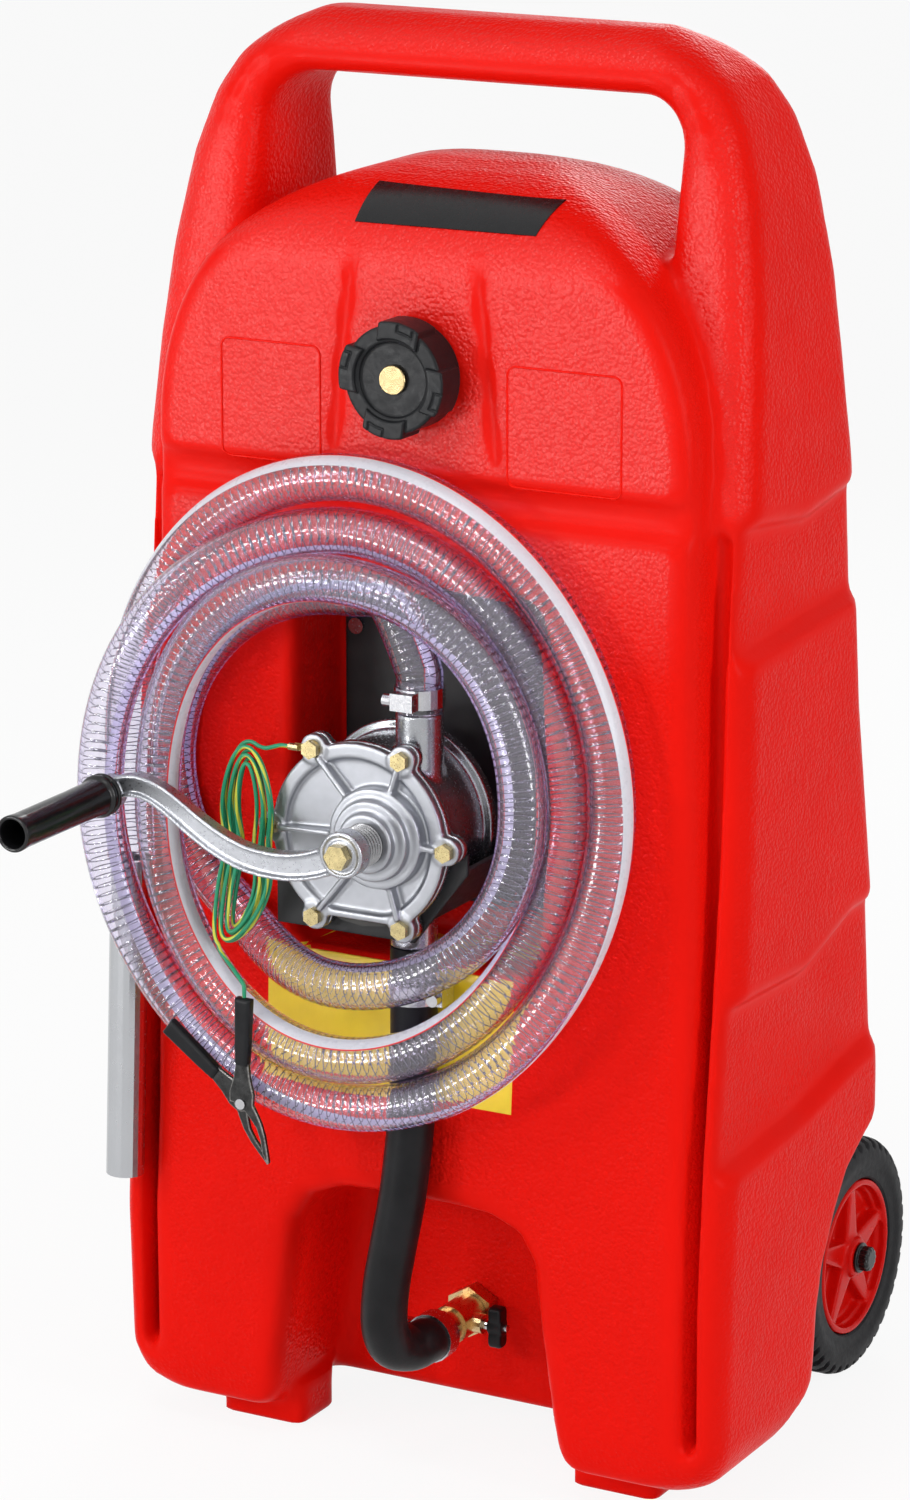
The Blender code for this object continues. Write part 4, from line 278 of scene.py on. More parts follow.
def clip_point(along, across, angle):
    """Point (x, z) of the clip, along and across a direction from its pivot."""
    return (CLIP_X + along * math.cos(angle) - across * math.sin(angle),
            CLIP_Z + along * math.sin(angle) + across * math.cos(angle))


def earth_route():
    """Middle line of the earth wire from its lug, through the hank, to the clip."""
    coarse, hank = (hank_line(np.linspace(0, HANK_LOOPS, count)) for count in (89, 445))
    wire_x = LUG_BOLT_X - LUG_RING_RADIUS - LUG_TAB_LENGTH - LUG_BARREL_LENGTH / 2 - GAP
    barrel_y = COVER_FACE_Y - GAP - LUG_PLATE - LUG_BARREL_RADIUS * 0.6
    away = onward(coarse[0], coarse[1])
    lead = straight_ended([
        (wire_x, barrel_y, LUG_BOLT_Z), (wire_x - 4 * WIRE_RADIUS, barrel_y, LUG_BOLT_Z),
        hank[0] + away * 4 * WIRE_RADIUS, hank[0] + away * GAP], 12)
    out = onward(coarse[-1], coarse[-2])
    leave = hank[-1] + out * GAP
    top = clip_point(CLIP_HANDLE_LENGTH, 0.0, CLIP_HANDLE_ANGLES[0])
    clip_y = CLIP_FRONT_Y + CLIP_PLATE / 2
    tail = straight_ended([
        leave, leave + out * 3 * WIRE_RADIUS,
        (top[0], clip_y, top[1] + 6 * WIRE_RADIUS), (top[0], clip_y, top[1] + GAP)], 12)
    return np.vstack((lead, hank[1:-1], tail)) + SHIFT


# Finishes

def put(tree, node, **inputs):
    """Set a node's inputs to plain values, or link them to outputs."""
    for name, value in inputs.items():
        socket = node.inputs[name.replace("_", " ")]
        if isinstance(value, bpy.types.NodeSocket):
            tree.links.new(value, socket)
        else:
            socket.default_value = value


def new_node(tree, kind, **inputs):
    """New node of a kind with its inputs."""
    node = tree.nodes.new("ShaderNode" + kind)
    put(tree, node, **inputs)
    return node


def new_finish(name, colour, roughness, metallic=0.0, **inputs):
    """Material with one Principled shader, and its tree, shader and object coordinates."""
    finish = bpy.data.materials.new(name)
    finish.use_nodes = True
    finish.diffuse_color = (*colour, 1.0)
    tree = finish.node_tree
    shader = tree.nodes["Principled BSDF"]
    put(tree, shader, Base_Color=(*colour, 1.0), Roughness=roughness, Metallic=metallic, **inputs)
    return finish, tree, shader, new_node(tree, "TexCoord").outputs["Object"]


def noise(tree, vector, scale, detail=3.0, roughness=0.5):
    """Noise of so many patches to the metre."""
    return new_node(tree, "TexNoise", Vector=vector, Scale=scale, Detail=detail,
                    Roughness=roughness).outputs["Fac"]


def attribute(tree, name):
    """Value that a mesh attribute gives each point."""
    node = new_node(tree, "Attribute")
    node.attribute_name = name
    return node.outputs["Fac"]


def split(tree, vector):
    """The three parts of a vector."""
    return new_node(tree, "SeparateXYZ", Vector=vector).outputs


def spread(tree, value, low, high, start=0.3, end=0.7):
    """Value from low to high as the input goes from start to end."""
    return new_node(tree, "MapRange", Value=value, From_Min=start, From_Max=end, To_Min=low,
                    To_Max=high).outputs["Result"]


def mixed(tree, share, first, second):
    """Colour between two colours, each a tuple or an output.

    The Mix node's sockets 6 and 7, and its output 2, are those for colours.
    """
    node = tree.nodes.new("ShaderNodeMix")
    node.data_type = "RGBA"
    tree.links.new(share, node.inputs["Factor"])
    for colour, socket in ((first, node.inputs[6]), (second, node.inputs[7])):
        if isinstance(colour, tuple):
            socket.default_value = (*colour, 1.0)
        else:
            tree.links.new(colour, socket)
    return node.outputs[2]


def mottled(tree, pattern, colour, darker, lighter):
    """Colour that goes from darker to lighter times itself over a pattern."""
    dark, light = (tuple(min(1.0, channel * factor) for channel in colour)
                   for factor in (darker, lighter))
    return mixed(tree, spread(tree, pattern, 0.0, 1.0), dark, light)


def maths(tree, operation, first, second=0.0):
    """Sum, product or other pairing of two values, the second an output or a number."""
    node = tree.nodes.new("ShaderNodeMath")
    node.operation = operation
    tree.links.new(first, node.inputs[0])
    if isinstance(second, float):
        node.inputs[1].default_value = second
    else:
        tree.links.new(second, node.inputs[1])
    return node.outputs[0]


def bumped(tree, shader, height, depth, **inputs):
    """Bump of the shader's surface, depth metres for a height from 0 to 1."""
    bump = new_node(tree, "Bump", Height=height, Distance=depth, **inputs)
    put(tree, shader, Normal=bump.outputs["Normal"])
    return bump.outputs["Normal"]


def plain_finish(name, colour, roughness, metallic=0.0, mottle=0.08, patches=60.0, uneven=0.06,
                 grain=0.00006, grain_scale=900.0, **inputs):
    """Moulded or cast surface: patchy colour and gloss, and a fine grain."""
    finish, tree, shader, here = new_finish(name, colour, roughness, metallic, **inputs)
    gloss = spread(tree, noise(tree, here, patches * 4), roughness - uneven, roughness + uneven)
    put(tree, shader, Roughness=gloss,
        Base_Color=mottled(tree, noise(tree, here, patches), colour, 1 - mottle, 1 + mottle))
    bumped(tree, shader, noise(tree, here, grain_scale, 2.0), grain)
    return finish


def leather_grain_finish(name, colour, roughness):
    """Blow-moulded plastic with a leather grain that fades where the surface turns sharply.

    From 0.56 m up, on faces turned to the front, a gloss coat gives it a painted sheen, which fades
    there too.
    """
    finish, tree, shader, here = new_finish(name, colour, roughness, Specular_IOR_Level=0.03,
                                            Coat_Roughness=0.34)
    cells = new_node(tree, "TexVoronoi", Vector=here, Scale=CELL_SCALE).outputs["Distance"]
    height = maths(tree, "ADD", maths(tree, "MULTIPLY", cells, -0.75),
                   noise(tree, here, CELL_SCALE * 0.7, 2.0))
    grain_share = spread(tree, attribute(tree, "edge_turn"), 1.0, 0.12, 0.10, 0.60)
    normal = bumped(tree, shader, height, 0.00080, Strength=grain_share)
    # Painted sheen: the coat's weight rises from 0.56 m up and on faces turned to the front, and falls
    # where the surface turns sharply
    facing = split(tree, new_node(tree, "NewGeometry").outputs["Normal"])[1]
    painted_sheen_share = maths(tree, "MULTIPLY", spread(tree, split(tree, here)[2], 0.0, 0.75, 0.56, 0.66),
                 spread(tree, facing, 1.0, 0.0, -0.95, -0.45))
    put(tree, shader, Coat_Normal=normal, Coat_Weight=maths(tree, "MULTIPLY", painted_sheen_share, grain_share),
        Base_Color=mottled(tree, noise(tree, here, 9.0, 4.0, 0.6), colour, 0.96, 1.04),
        Roughness=spread(tree, noise(tree, here, 35.0), roughness - 0.05, roughness + 0.06))
    return finish


def worn_edge_finish(name, colour, edge_colour, roughness):
    """Dark plated steel that is rubbed bright where the surface turns sharply."""
    finish, tree, shader, here = new_finish(name, colour, roughness, 0.9)
    rubbed = maths(tree, "MULTIPLY", spread(tree, attribute(tree, "edge_turn"), 0.0, 1.0, 0.15, 0.60),
                   spread(tree, noise(tree, here, 420.0), 0.35, 1.0))
    plating = mottled(tree, noise(tree, here, 260.0), colour, 0.7, 1.4)
    put(tree, shader, Base_Color=mixed(tree, rubbed, plating, edge_colour),
        Roughness=spread(tree, noise(tree, here, 900.0), roughness - 0.06, roughness + 0.08))
    bumped(tree, shader, noise(tree, here, 900.0, 2.0), 0.00004)
    return finish


CELL_SCALE, NECK_Z = 380.0, 0.7414
TANK_RED = leather_grain_finish("tank_red_leather_grain", (0.78, 0.008, 0.004), 0.33)
RIM_RED = plain_finish("rim_red_plastic", (0.62, 0.005, 0.003), 0.22, mottle=0.03, grain=0.00002,
                       Specular_IOR_Level=0.08)
BLACK_PLASTIC = plain_finish("black_plastic", (0.010, 0.0105, 0.012), 0.36, mottle=0.2,
                             Specular_IOR_Level=0.18)
BEAD_RED = plain_finish("bead_red_plastic", (0.80, 0.009, 0.004), 0.26, mottle=0.03, grain=0.00002,
                        Specular_IOR_Level=0.07)
GRIP_BLACK = plain_finish("grip_black_gloss", (0.008, 0.008, 0.009), 0.20, mottle=0.2,
                          grain=0.00003, Specular_IOR_Level=0.35)
STICKER_BLACK = plain_finish("sticker_black", (0.006, 0.006, 0.007), 0.26, mottle=0.15,
                             grain=0.00002, Specular_IOR_Level=0.3)
LABEL_YELLOW = plain_finish("label_yellow", (0.94, 0.68, 0.02), 0.34, mottle=0.04, grain=0.00002)
CLIP_STEEL = worn_edge_finish("clip_dark_steel", (0.045, 0.045, 0.045), (0.55, 0.53, 0.50), 0.30)
TYRE_BLACK = plain_finish("tyre_rubber", (0.010, 0.010, 0.0115), 0.50, mottle=0.25,
                          grain=0.00010, grain_scale=500.0, Specular_IOR_Level=0.12)
HOSE_BLACK = plain_finish("suction_rubber", (0.008, 0.008, 0.009), 0.38, mottle=0.25,
                          grain=0.00008, grain_scale=520.0, Specular_IOR_Level=0.18)
POWDER_BLACK = plain_finish("powder_coat", (0.026, 0.026, 0.027), 0.5, mottle=0.2,
                            grain=0.00008, grain_scale=1400.0, Specular_IOR_Level=0.3)
CAST = plain_finish("cast_aluminium", (0.39, 0.40, 0.43), 0.38, 0.92, mottle=0.05, patches=140.0,
                    uneven=0.06, grain=0.00006, grain_scale=1300.0)
HOUSING_CAST = plain_finish("housing_aluminium", (0.40, 0.41, 0.43), 0.24, 0.95, mottle=0.06,
                            patches=140.0, uneven=0.05, grain=0.00004, grain_scale=1300.0)
ARM_CAST = plain_finish("crank_aluminium", (0.42, 0.43, 0.46), 0.30, 0.92, mottle=0.05, patches=140.0,
                        uneven=0.05, grain=0.00005, grain_scale=1300.0)
DRAWN = plain_finish("drawn_aluminium", (0.50, 0.51, 0.53), 0.26, 1.0, mottle=0.02, patches=40.0,
                     uneven=0.02, grain=0.00002, grain_scale=700.0)
STEEL = plain_finish("bright_steel", (0.52, 0.52, 0.54), 0.22, 1.0, mottle=0.06, patches=200.0,
                     grain=0.00002)
GLAND_STEEL = plain_finish("gland_dark_steel", (0.30, 0.30, 0.31), 0.28, 1.0, mottle=0.1,
                           patches=300.0, grain=0.00003)
BRASS = plain_finish("yellow_brass", (0.62, 0.45, 0.24), 0.30, 1.0, mottle=0.12, patches=220.0,
                     grain=0.00004)
PASSIVATED = plain_finish("yellow_zinc", (0.50, 0.41, 0.21), 0.30, 1.0, mottle=0.18, patches=260.0,
                          grain=0.00004)
GASKET = plain_finish("gasket_fibre", (0.05, 0.048, 0.045), 0.7)
STRIPE_WHITE = plain_finish("stripe_white", (0.66, 0.66, 0.72), 0.30, mottle=0.03)
STRIPE_RED = plain_finish("stripe_red", (0.74, 0.03, 0.03), 0.32, mottle=0.05)


def turned_finish(name, colour, roughness, centre_z, pitch, depth):
    """Metal faced on a lathe: fine rings about the line along Y at a height, one for each pitch."""
    finish, tree, shader, here = new_finish(name, colour, roughness, 1.0)
    flat = new_node(tree, "Mapping", Vector=here, Location=(0.0, 0.0, -centre_z),
                    Scale=(1.0, 0.0, 1.0))
    reach = tree.nodes.new("ShaderNodeVectorMath")
    reach.operation = "LENGTH"
    tree.links.new(flat.outputs["Vector"], reach.inputs[0])
    rings = maths(tree, "SINE", maths(tree, "MULTIPLY", reach.outputs["Value"], 2 * math.pi / pitch))
    put(tree, shader,
        Roughness=spread(tree, noise(tree, here, 300.0), roughness - 0.04, roughness + 0.05))
    bumped(tree, shader, rings, depth)
    return finish


def show_mixed(tree, share, first, second):
    """Surface of a material: the first shader, and the second by its share."""
    mix = tree.nodes.new("ShaderNodeMixShader")
    for socket, output in zip(mix.inputs, (share, first, second)):
        tree.links.new(output, socket)
    put(tree, tree.nodes["Material Output"], Surface=mix.outputs[0])


def clear_hose_finish(depth=0.0004):
    """Clear soft plastic, violet in its depth: glass that lets the lamps' light through.

    The outside has a gloss that stands up in a narrow ridge over each turn of the spiral and is
    smooth between them. Attribute hose_outside is 1 there and 0 in the bore.
    """
    finish, tree, shader, here = new_finish("clear_hose_plastic", (1.0, 1.0, 1.0), 0.03, IOR=1.14,
                                            Transmission_Weight=0.99, Coat_Roughness=0.13,
                                            Coat_IOR=1.75)
    tint = new_node(tree, "VolumeAbsorption", Color=(0.80, 0.72, 0.96, 1.0), Density=85.0)
    put(tree, tree.nodes["Material Output"], Volume=tint.outputs[0])
    along, turn, _ = split(tree, new_node(tree, "UVMap").outputs["UV"])
    turns = maths(tree, "SUBTRACT", maths(tree, "MULTIPLY", along, 1 / SPIRAL_PITCH), turn)
    wave = maths(tree, "COSINE", maths(tree, "MULTIPLY", turns, math.pi))
    rib = maths(tree, "POWER", maths(tree, "ABSOLUTE", wave), 8.0)
    bumped(tree, shader, rib, depth / 3)
    coat_rib = new_node(tree, "Bump", Height=rib, Distance=depth)
    put(tree, shader, Coat_Weight=attribute(tree, "hose_outside"),
        Coat_Normal=coat_rib.outputs["Normal"],
        Roughness=spread(tree, noise(tree, here, 300.0), 0.03, 0.08))
    passing = new_node(tree, "BsdfTransparent", Color=(0.86, 0.84, 0.90, 1.0))
    show_mixed(tree, tree.nodes.new("ShaderNodeLightPath").outputs["Is Shadow Ray"],
               shader.outputs[0], passing.outputs[0])
    return finish


def earth_jacket_finish():
    """Green wire jacket with a yellow stripe that winds along it, on the wire's UV map."""
    green, yellow = (0.008, 0.27, 0.13), (0.60, 0.62, 0.06)
    finish, tree, shader, here = new_finish("earth_jacket", green, 0.36)
    along, round_it, _ = split(tree, new_node(tree, "UVMap").outputs["UV"])
    turn = maths(tree, "FRACT", maths(tree, "ADD", round_it, maths(tree, "MULTIPLY", along, 14.0)))
    put(tree, shader, Base_Color=mixed(tree, maths(tree, "GREATER_THAN", turn, 0.74), green, yellow))
    bumped(tree, shader, noise(tree, here, 1500.0), 0.00005)
    return finish


SPIRAL_PITCH, SPIRAL_RADIUS, SPIRAL_WIRE = 0.0058, 0.0138, 0.00038
SPIRAL_STEEL = plain_finish("spiral_steel", (0.26, 0.25, 0.31), 0.26, 1.0, mottle=0.1, patches=200.0,
                            grain=0.00002)
CLEAR = clear_hose_finish()
VENT_BRASS = turned_finish("vent_turned_brass", (0.44, 0.33, 0.17), 0.24, NECK_Z, 0.0011, 0.00004)
JACKET = earth_jacket_finish()


# The clear hose, its steel spiral, its stripe and the earth wire

HOSE_SIDES, HOSE_STEP, WIRE_STEP = 28, 0.0035, 0.0022
hose_line = evenly(hose_route(), HOSE_STEP)
hose_places = lengths_along(hose_line)
hose_length = float(hose_places[-1])
hose_frames = line_frames(hose_line)
clear_hose = place_mesh(
    "clear_hose", *pipe(hose_line, HOSE_RADIUS, HOSE_BORE_RADIUS, HOSE_SIDES, *hose_frames), CLEAR,
    ("delivery_hose_rise", "delivery_hose_coil", "delivery_hose_drop"), "clear_hose", angle=80)
clear_hose.data.attributes.new("hose_outside", "FLOAT", "POINT").data.foreach_set(
    "value", np.repeat((1.0, 0.0), len(hose_line) * HOSE_SIDES))


def put_uv(piece, along, turn):
    """UV map of a cord: metres along its line, and share of the way round it, for each point."""
    mesh = piece.data
    layer = mesh.uv_layers.new(name="along_and_round")
    corners = np.zeros(len(mesh.loops), int)
    mesh.loops.foreach_get("vertex_index", corners)
    layer.data.foreach_set("uv", np.stack((along[corners], turn[corners]), 1).ravel())


put_uv(clear_hose, np.repeat(np.concatenate((hose_places, hose_places[::-1])), HOSE_SIDES),
       np.tile((np.arange(HOSE_SIDES) / HOSE_SIDES + 0.5) % 1 - 0.5, 2 * len(hose_places)))


def hose_spiral():
    """Steel wire in the hose wall: a helix about the hose's line, one turn for each pitch."""
    turns = int(hose_length / SPIRAL_PITCH)
    places = np.linspace(0.004, hose_length - 0.004, turns * 16)
    line, front, side = (read_along(table, hose_places, places)
                         for table in (hose_line, *hose_frames))
    angle = (2 * np.pi * places / SPIRAL_PITCH)[:, None]
    out = unit(np.cos(angle) * front + np.sin(angle) * side)
    wire = line + SPIRAL_RADIUS * out
    across = np.cross(unit(np.gradient(wire, axis=0)), out)
    return solid_cord(rings_about(wire, SPIRAL_WIRE, round_angles(4), out, across))


spiral = place_mesh("hose_steel_spiral", *hose_spiral(), SPIRAL_STEEL, slot="bright_steel", angle=100)

# How far from the hose's ends the stripe stops winding, and where it lies round the hose at each
# quarter turn, in degrees from the front
STRIPE_END = 0.09
STRIPE_PLACES = (180, 205, 235, 262, 285, 300, 302, 275, 200, 140, 105, 66, 60, 72)


def hose_band(first, last):
    """Thin band on the hose between two places round it, in degrees past the stripe's."""
    share = np.clip((hose_places - STRIPE_END) / (hose_length - 2 * STRIPE_END), 0, 1)
    middle = np.radians(read_table(STRIPE_PLACES, share * (len(STRIPE_PLACES) - 1)))[:, None]
    spans = np.radians(np.linspace(first, last, 6))
    skins = [rings_about(hose_line, HOSE_RADIUS + lift, middle + spans[::order], *hose_frames)
             for lift, order in ((0.00012, 1), (-0.0004, -1))]
    return solid_cord(np.concatenate(skins, axis=1)[3:-3])


stripe = place_mesh("hose_white_stripe", *hose_band(-20, 14), STRIPE_WHITE)
red_line = place_mesh("hose_red_line", *hose_band(14, 17.5), STRIPE_RED)

wire_line = evenly(earth_route(), WIRE_STEP)
earth_wire = place_mesh(
    "earth_wire",
    *solid_cord(rings_about(wire_line, WIRE_RADIUS, round_angles(8), *line_frames(wire_line))),
    JACKET, ("earth_wire_lead", "earth_wire_hank", "earth_wire_tail"), "earth_jacket", angle=80)


def wind_uv(piece, line):
    """UV map of a cord, each of its points read at the nearest point of its line."""
    mesh = piece.data
    front, side = line_frames(line)
    points = np.zeros(len(mesh.vertices) * 3)
    mesh.vertices.foreach_get("co", points)
    points = points.reshape(-1, 3)
    nearest = np.zeros(len(points), int)
    for start in range(0, len(points), 2000):
        block = points[start:start + 2000]
        gaps = ((block[:, None] - line[None]) ** 2).sum(-1)
        nearest[start:start + 2000] = gaps.argmin(1)
    out = points - line[nearest]
    turn = np.arctan2((out * side[nearest]).sum(1), (out * front[nearest]).sum(1)) / (2 * np.pi)
    put_uv(piece, lengths_along(line)[nearest], turn)


wind_uv(earth_wire, wire_line)


# Tank

HEIGHT, HALF_WIDTH, FLANK_DEPTH = 0.954, 0.2265, 0.258
FLANK_SHARES = np.array((
    (0.019, 0.883, 0.070, 0.934), (0.031, 0.956, 0.020, 0.977), (0.052, 0.991, 0.002, 0.996),
    (0.157, 1.000, 0.000, 1.000), (0.262, 0.999, 0.023, 1.000), (0.388, 0.996, 0.070, 0.952),
    (0.472, 0.991, 0.097, 0.903), (0.533, 0.989, 0.105, 0.864), (0.613, 0.985, 0.110, 0.839),
    (0.708, 0.978, 0.140, 0.809), (0.776, 0.962, 0.174, 0.775), (0.839, 0.938, 0.209, 0.756),
    (0.901, 0.896, 0.252, 0.729), (0.943, 0.839, 0.283, 0.702), (0.970, 0.768, 0.310, 0.671),
    (0.987, 0.675, 0.349, 0.620), (0.997, 0.596, 0.399, 0.562), (1.000, 0.530, 0.446, 0.516),
))
FACE_Y, BODY_HALF_WIDTH, ARCH_SPRING_Z, ARCH_RISE, ARCH_POWER = -0.191, 0.2035, 0.68, 0.186, 2.3
BODY_SHARES = np.array((
    (0.034, 0.930), (0.053, 0.983), (0.090, 0.995), (0.220, 1.000), (0.300, 0.997),
    (0.345, 0.995), (0.530, 0.983), (0.800, 0.966), (0.940, 0.961), (1.000, 0.961),
))
DOME_SHOULDER_Z, DOME_ROUND_HEIGHT = 0.800, 0.066
DOME_ROUND_DEPTH, DOME_BACK_DEPTH = 0.115, 0.052
AXLE_Y, TYRE_RADIUS, NECK_RADIUS, NECK_BORE = 0.11, 0.0836, 0.026, 0.0205
WELL_SHARES = np.array((
    (1.60, 1.62), (-0.60, 1.62), (-0.80, 1.53), (-1.00, 1.44), (-1.33, 1.25),
    (-1.55, 0.97), (-1.74, 0.62), (-1.82, 0.24), (-1.84, -0.17), (-1.87, -0.34),
    (-1.98, -0.47), (-2.12, -0.58), (-2.40, -0.80), (-2.60, -1.40), (1.60, -1.40),
))
FOOTWELL_SHARES = np.array((
    (1.000, -0.06), (0.900, 0.20), (0.800, 0.62), (0.755, 0.85), (0.660, 0.945),
    (0.480, 0.99), (0.250, 1.00),
))
BAND_PLACE_SHARES = np.array((-0.1, 0.08, 0.5, 0.78, 1.1))
BAND_EDGE_SHARES = (
    ((0.694, 0.694, 0.681, 0.692, 0.696), (0.594, 0.597, 0.606, 0.610, 0.612)),
    ((0.370, 0.370, 0.366, 0.388, 0.393), (0.247, 0.252, 0.262, 0.276, 0.286)),
)
DOME_CREASE = ((0.0445, 0.812), (0.0485, 0.780), (0.054, 0.735), (0.058, 0.690))
WELL_INNER_X, FOOTWELL_SIZE, FOOTWELL_BACK_Y = 0.124, (0.118, 0.1905), -0.105
# Forms with rounded corners: the middle, then (half sizes, corner radius), then how far it goes in
HANDLE_GAP_Z, HANDLE_GAP = 0.852, (0.15, 0.062, 0.032)
RECESS_Z, RECESS, RECESS_BACK_Y = 0.4765, (0.0905, 0.1235, 0.012), -0.123
CARRIER_Y, CARRIER_Z, CARRIER, CARRIER_END_X = 0.0812, 0.0845, (0.0548, 0.0505, 0.008), 0.118
FOOT_X, FOOT_Y, FOOT = 0.1345, -0.142, (0.0315, 0.024, 0.008)
TANK_STEP = 0.0039


def softly(z, places, values, reach=0.008):
    """Table read at heights z, its corners rounded by averaging over a short reach."""
    offsets = np.linspace(-reach, reach, 9)
    weights = np.cos(offsets / reach * 1.4)
    read = [w * np.interp(z + o, places, values) for o, w in zip(offsets, weights)]
    return sum(read) / weights.sum()


def both(first, second, round_by):
    """Distance to what two forms share, the edge between them rounded."""
    h = np.clip(0.5 + 0.5 * (first - second) / round_by, 0, 1)
    return second + (first - second) * h + round_by * h * (1 - h)


def either(first, second, round_by):
    """Distance to two forms joined, with a fillet between them."""
    return -both(-first, -second, round_by)


def without(form, tool, round_by):
    """Distance to a form with a tool cut out of it, the edge rounded."""
    return both(form, -tool, round_by)


def rounded_slab(u, v, half_u, half_v, radius):
    """Distance to a rectangle with rounded corners about the origin."""
    over_u, over_v = np.abs(u) - (half_u - radius), np.abs(v) - (half_v - radius)
    outside = np.hypot(np.maximum(over_u, 0), np.maximum(over_v, 0))
    return outside + np.minimum(np.maximum(over_u, over_v), 0) - radius


def to_stretch(u, v, start, end):
    """Distance to the straight stretch between two points."""
    (au, av), (bu, bv) = start, end
    eu, ev = bu - au, bv - av
    t = np.clip(((u - au) * eu + (v - av) * ev) / (eu * eu + ev * ev), 0, 1)
    return np.hypot(u - au - t * eu, v - av - t * ev)


def outline_distance(u, v, outline):
    """Signed distance to a closed outline, negative inside it."""
    nearest, inside = np.inf, False
    for (au, av), (bu, bv) in zip(outline, np.roll(outline, -1, axis=0)):
        nearest = np.minimum(nearest, to_stretch(u, v, (au, av), (bu, bv)))
        slope = (bu - au) / (bv - av) if bv != av else 0.0
        inside = inside ^ (((av > v) != (bv > v)) & (u < au + slope * (v - av)))
    return np.where(inside, -nearest, nearest)


def stroke_distance(u, v, stroke):
    """Distance to a broken line."""
    nearest = np.inf
    for start, end in zip(stroke[:-1], stroke[1:]):
        nearest = np.minimum(nearest, to_stretch(u, v, start, end))
    return nearest


def between(place, low, high):
    """Distance to the space between two planes."""
    return np.abs(place - (low + high) / 2) - (high - low) / 2


def drum(reach, radius, place, low, high, round_by):
    """Distance to a round slab: what lies within a radius and between two planes."""
    return both(reach - radius, between(place, low, high), round_by)


def dome_rise(z):
    """How far up its rounded top the dome is at height z, from 0 to 1, as depth lost."""
    rise = np.clip((z - DOME_SHOULDER_Z) / DOME_ROUND_HEIGHT, 0, 1)
    return 1 - np.sqrt(1 - rise * rise)


def flank_form(x, y, z):
    """Full-width form with its handle gap and side bands."""
    heights = FLANK_SHARES[:, 0] * HEIGHT
    half = softly(z, heights, FLANK_SHARES[:, 1] * HALF_WIDTH)
    front = softly(z, heights, FLANK_Y + FLANK_SHARES[:, 2] * FLANK_DEPTH)
    back = softly(z, heights, FLANK_Y + FLANK_SHARES[:, 3] * FLANK_DEPTH)
    radius = np.minimum(0.024, (back - front) * 0.48)
    form = rounded_slab(x, y - (front + back) / 2, half, (back - front) / 2, radius)
    form = both(form, z - HEIGHT, 0.006)
    form = both(form, 0.018 - z, 0.010)
    gap = rounded_slab(x, z - HANDLE_GAP_Z, *HANDLE_GAP)
    form = without(form, gap, 0.026)
    places = FLANK_Y + BAND_PLACE_SHARES * FLANK_DEPTH
    for upper, lower in BAND_EDGE_SHARES:
        top, bottom = (np.interp(y, places, np.array(edge) * HEIGHT) for edge in (upper, lower))
        middle = HEIGHT * (upper[2] + lower[2]) / 2
        inner = np.interp(middle, heights, FLANK_SHARES[:, 1] * HALF_WIDTH) - 0.009
        band = both(both(z - top, bottom - z, 0.004), inner - np.abs(x), 0.010)
        form = without(form, band, 0.006)
    return form


def body_form(x, y, z):
    """Central body with its flat face, its arch and its dome."""
    half = softly(np.minimum(z, ARCH_SPRING_Z), BODY_SHARES[:, 0] * ARCH_SPRING_Z,
                  BODY_SHARES[:, 1] * BODY_HALF_WIDTH)
    up = np.maximum(z - ARCH_SPRING_Z, 0) / ARCH_RISE
    arch = ((np.abs(x) / half) ** ARCH_POWER + up ** ARCH_POWER) ** (1 / ARCH_POWER)
    outline = (arch - 1) * half
    toe = np.clip((ARCH_SPRING_Z * 0.33 - z) / (ARCH_SPRING_Z * 0.1), 0, 1)
    front = FACE_Y - 0.006 * toe + DOME_ROUND_DEPTH * dome_rise(z)
    flank_back = FLANK_Y + FLANK_SHARES[:, 3] * FLANK_DEPTH
    back = softly(np.minimum(z, DOME_SHOULDER_Z), FLANK_SHARES[:, 0] * HEIGHT, flank_back)
    back = back - 0.004 - DOME_BACK_DEPTH * dome_rise(z)
    form = both(outline, front - y, 0.020)
    form = both(form, y - back, 0.020)
    return both(form, 0.023 - z, 0.010), front


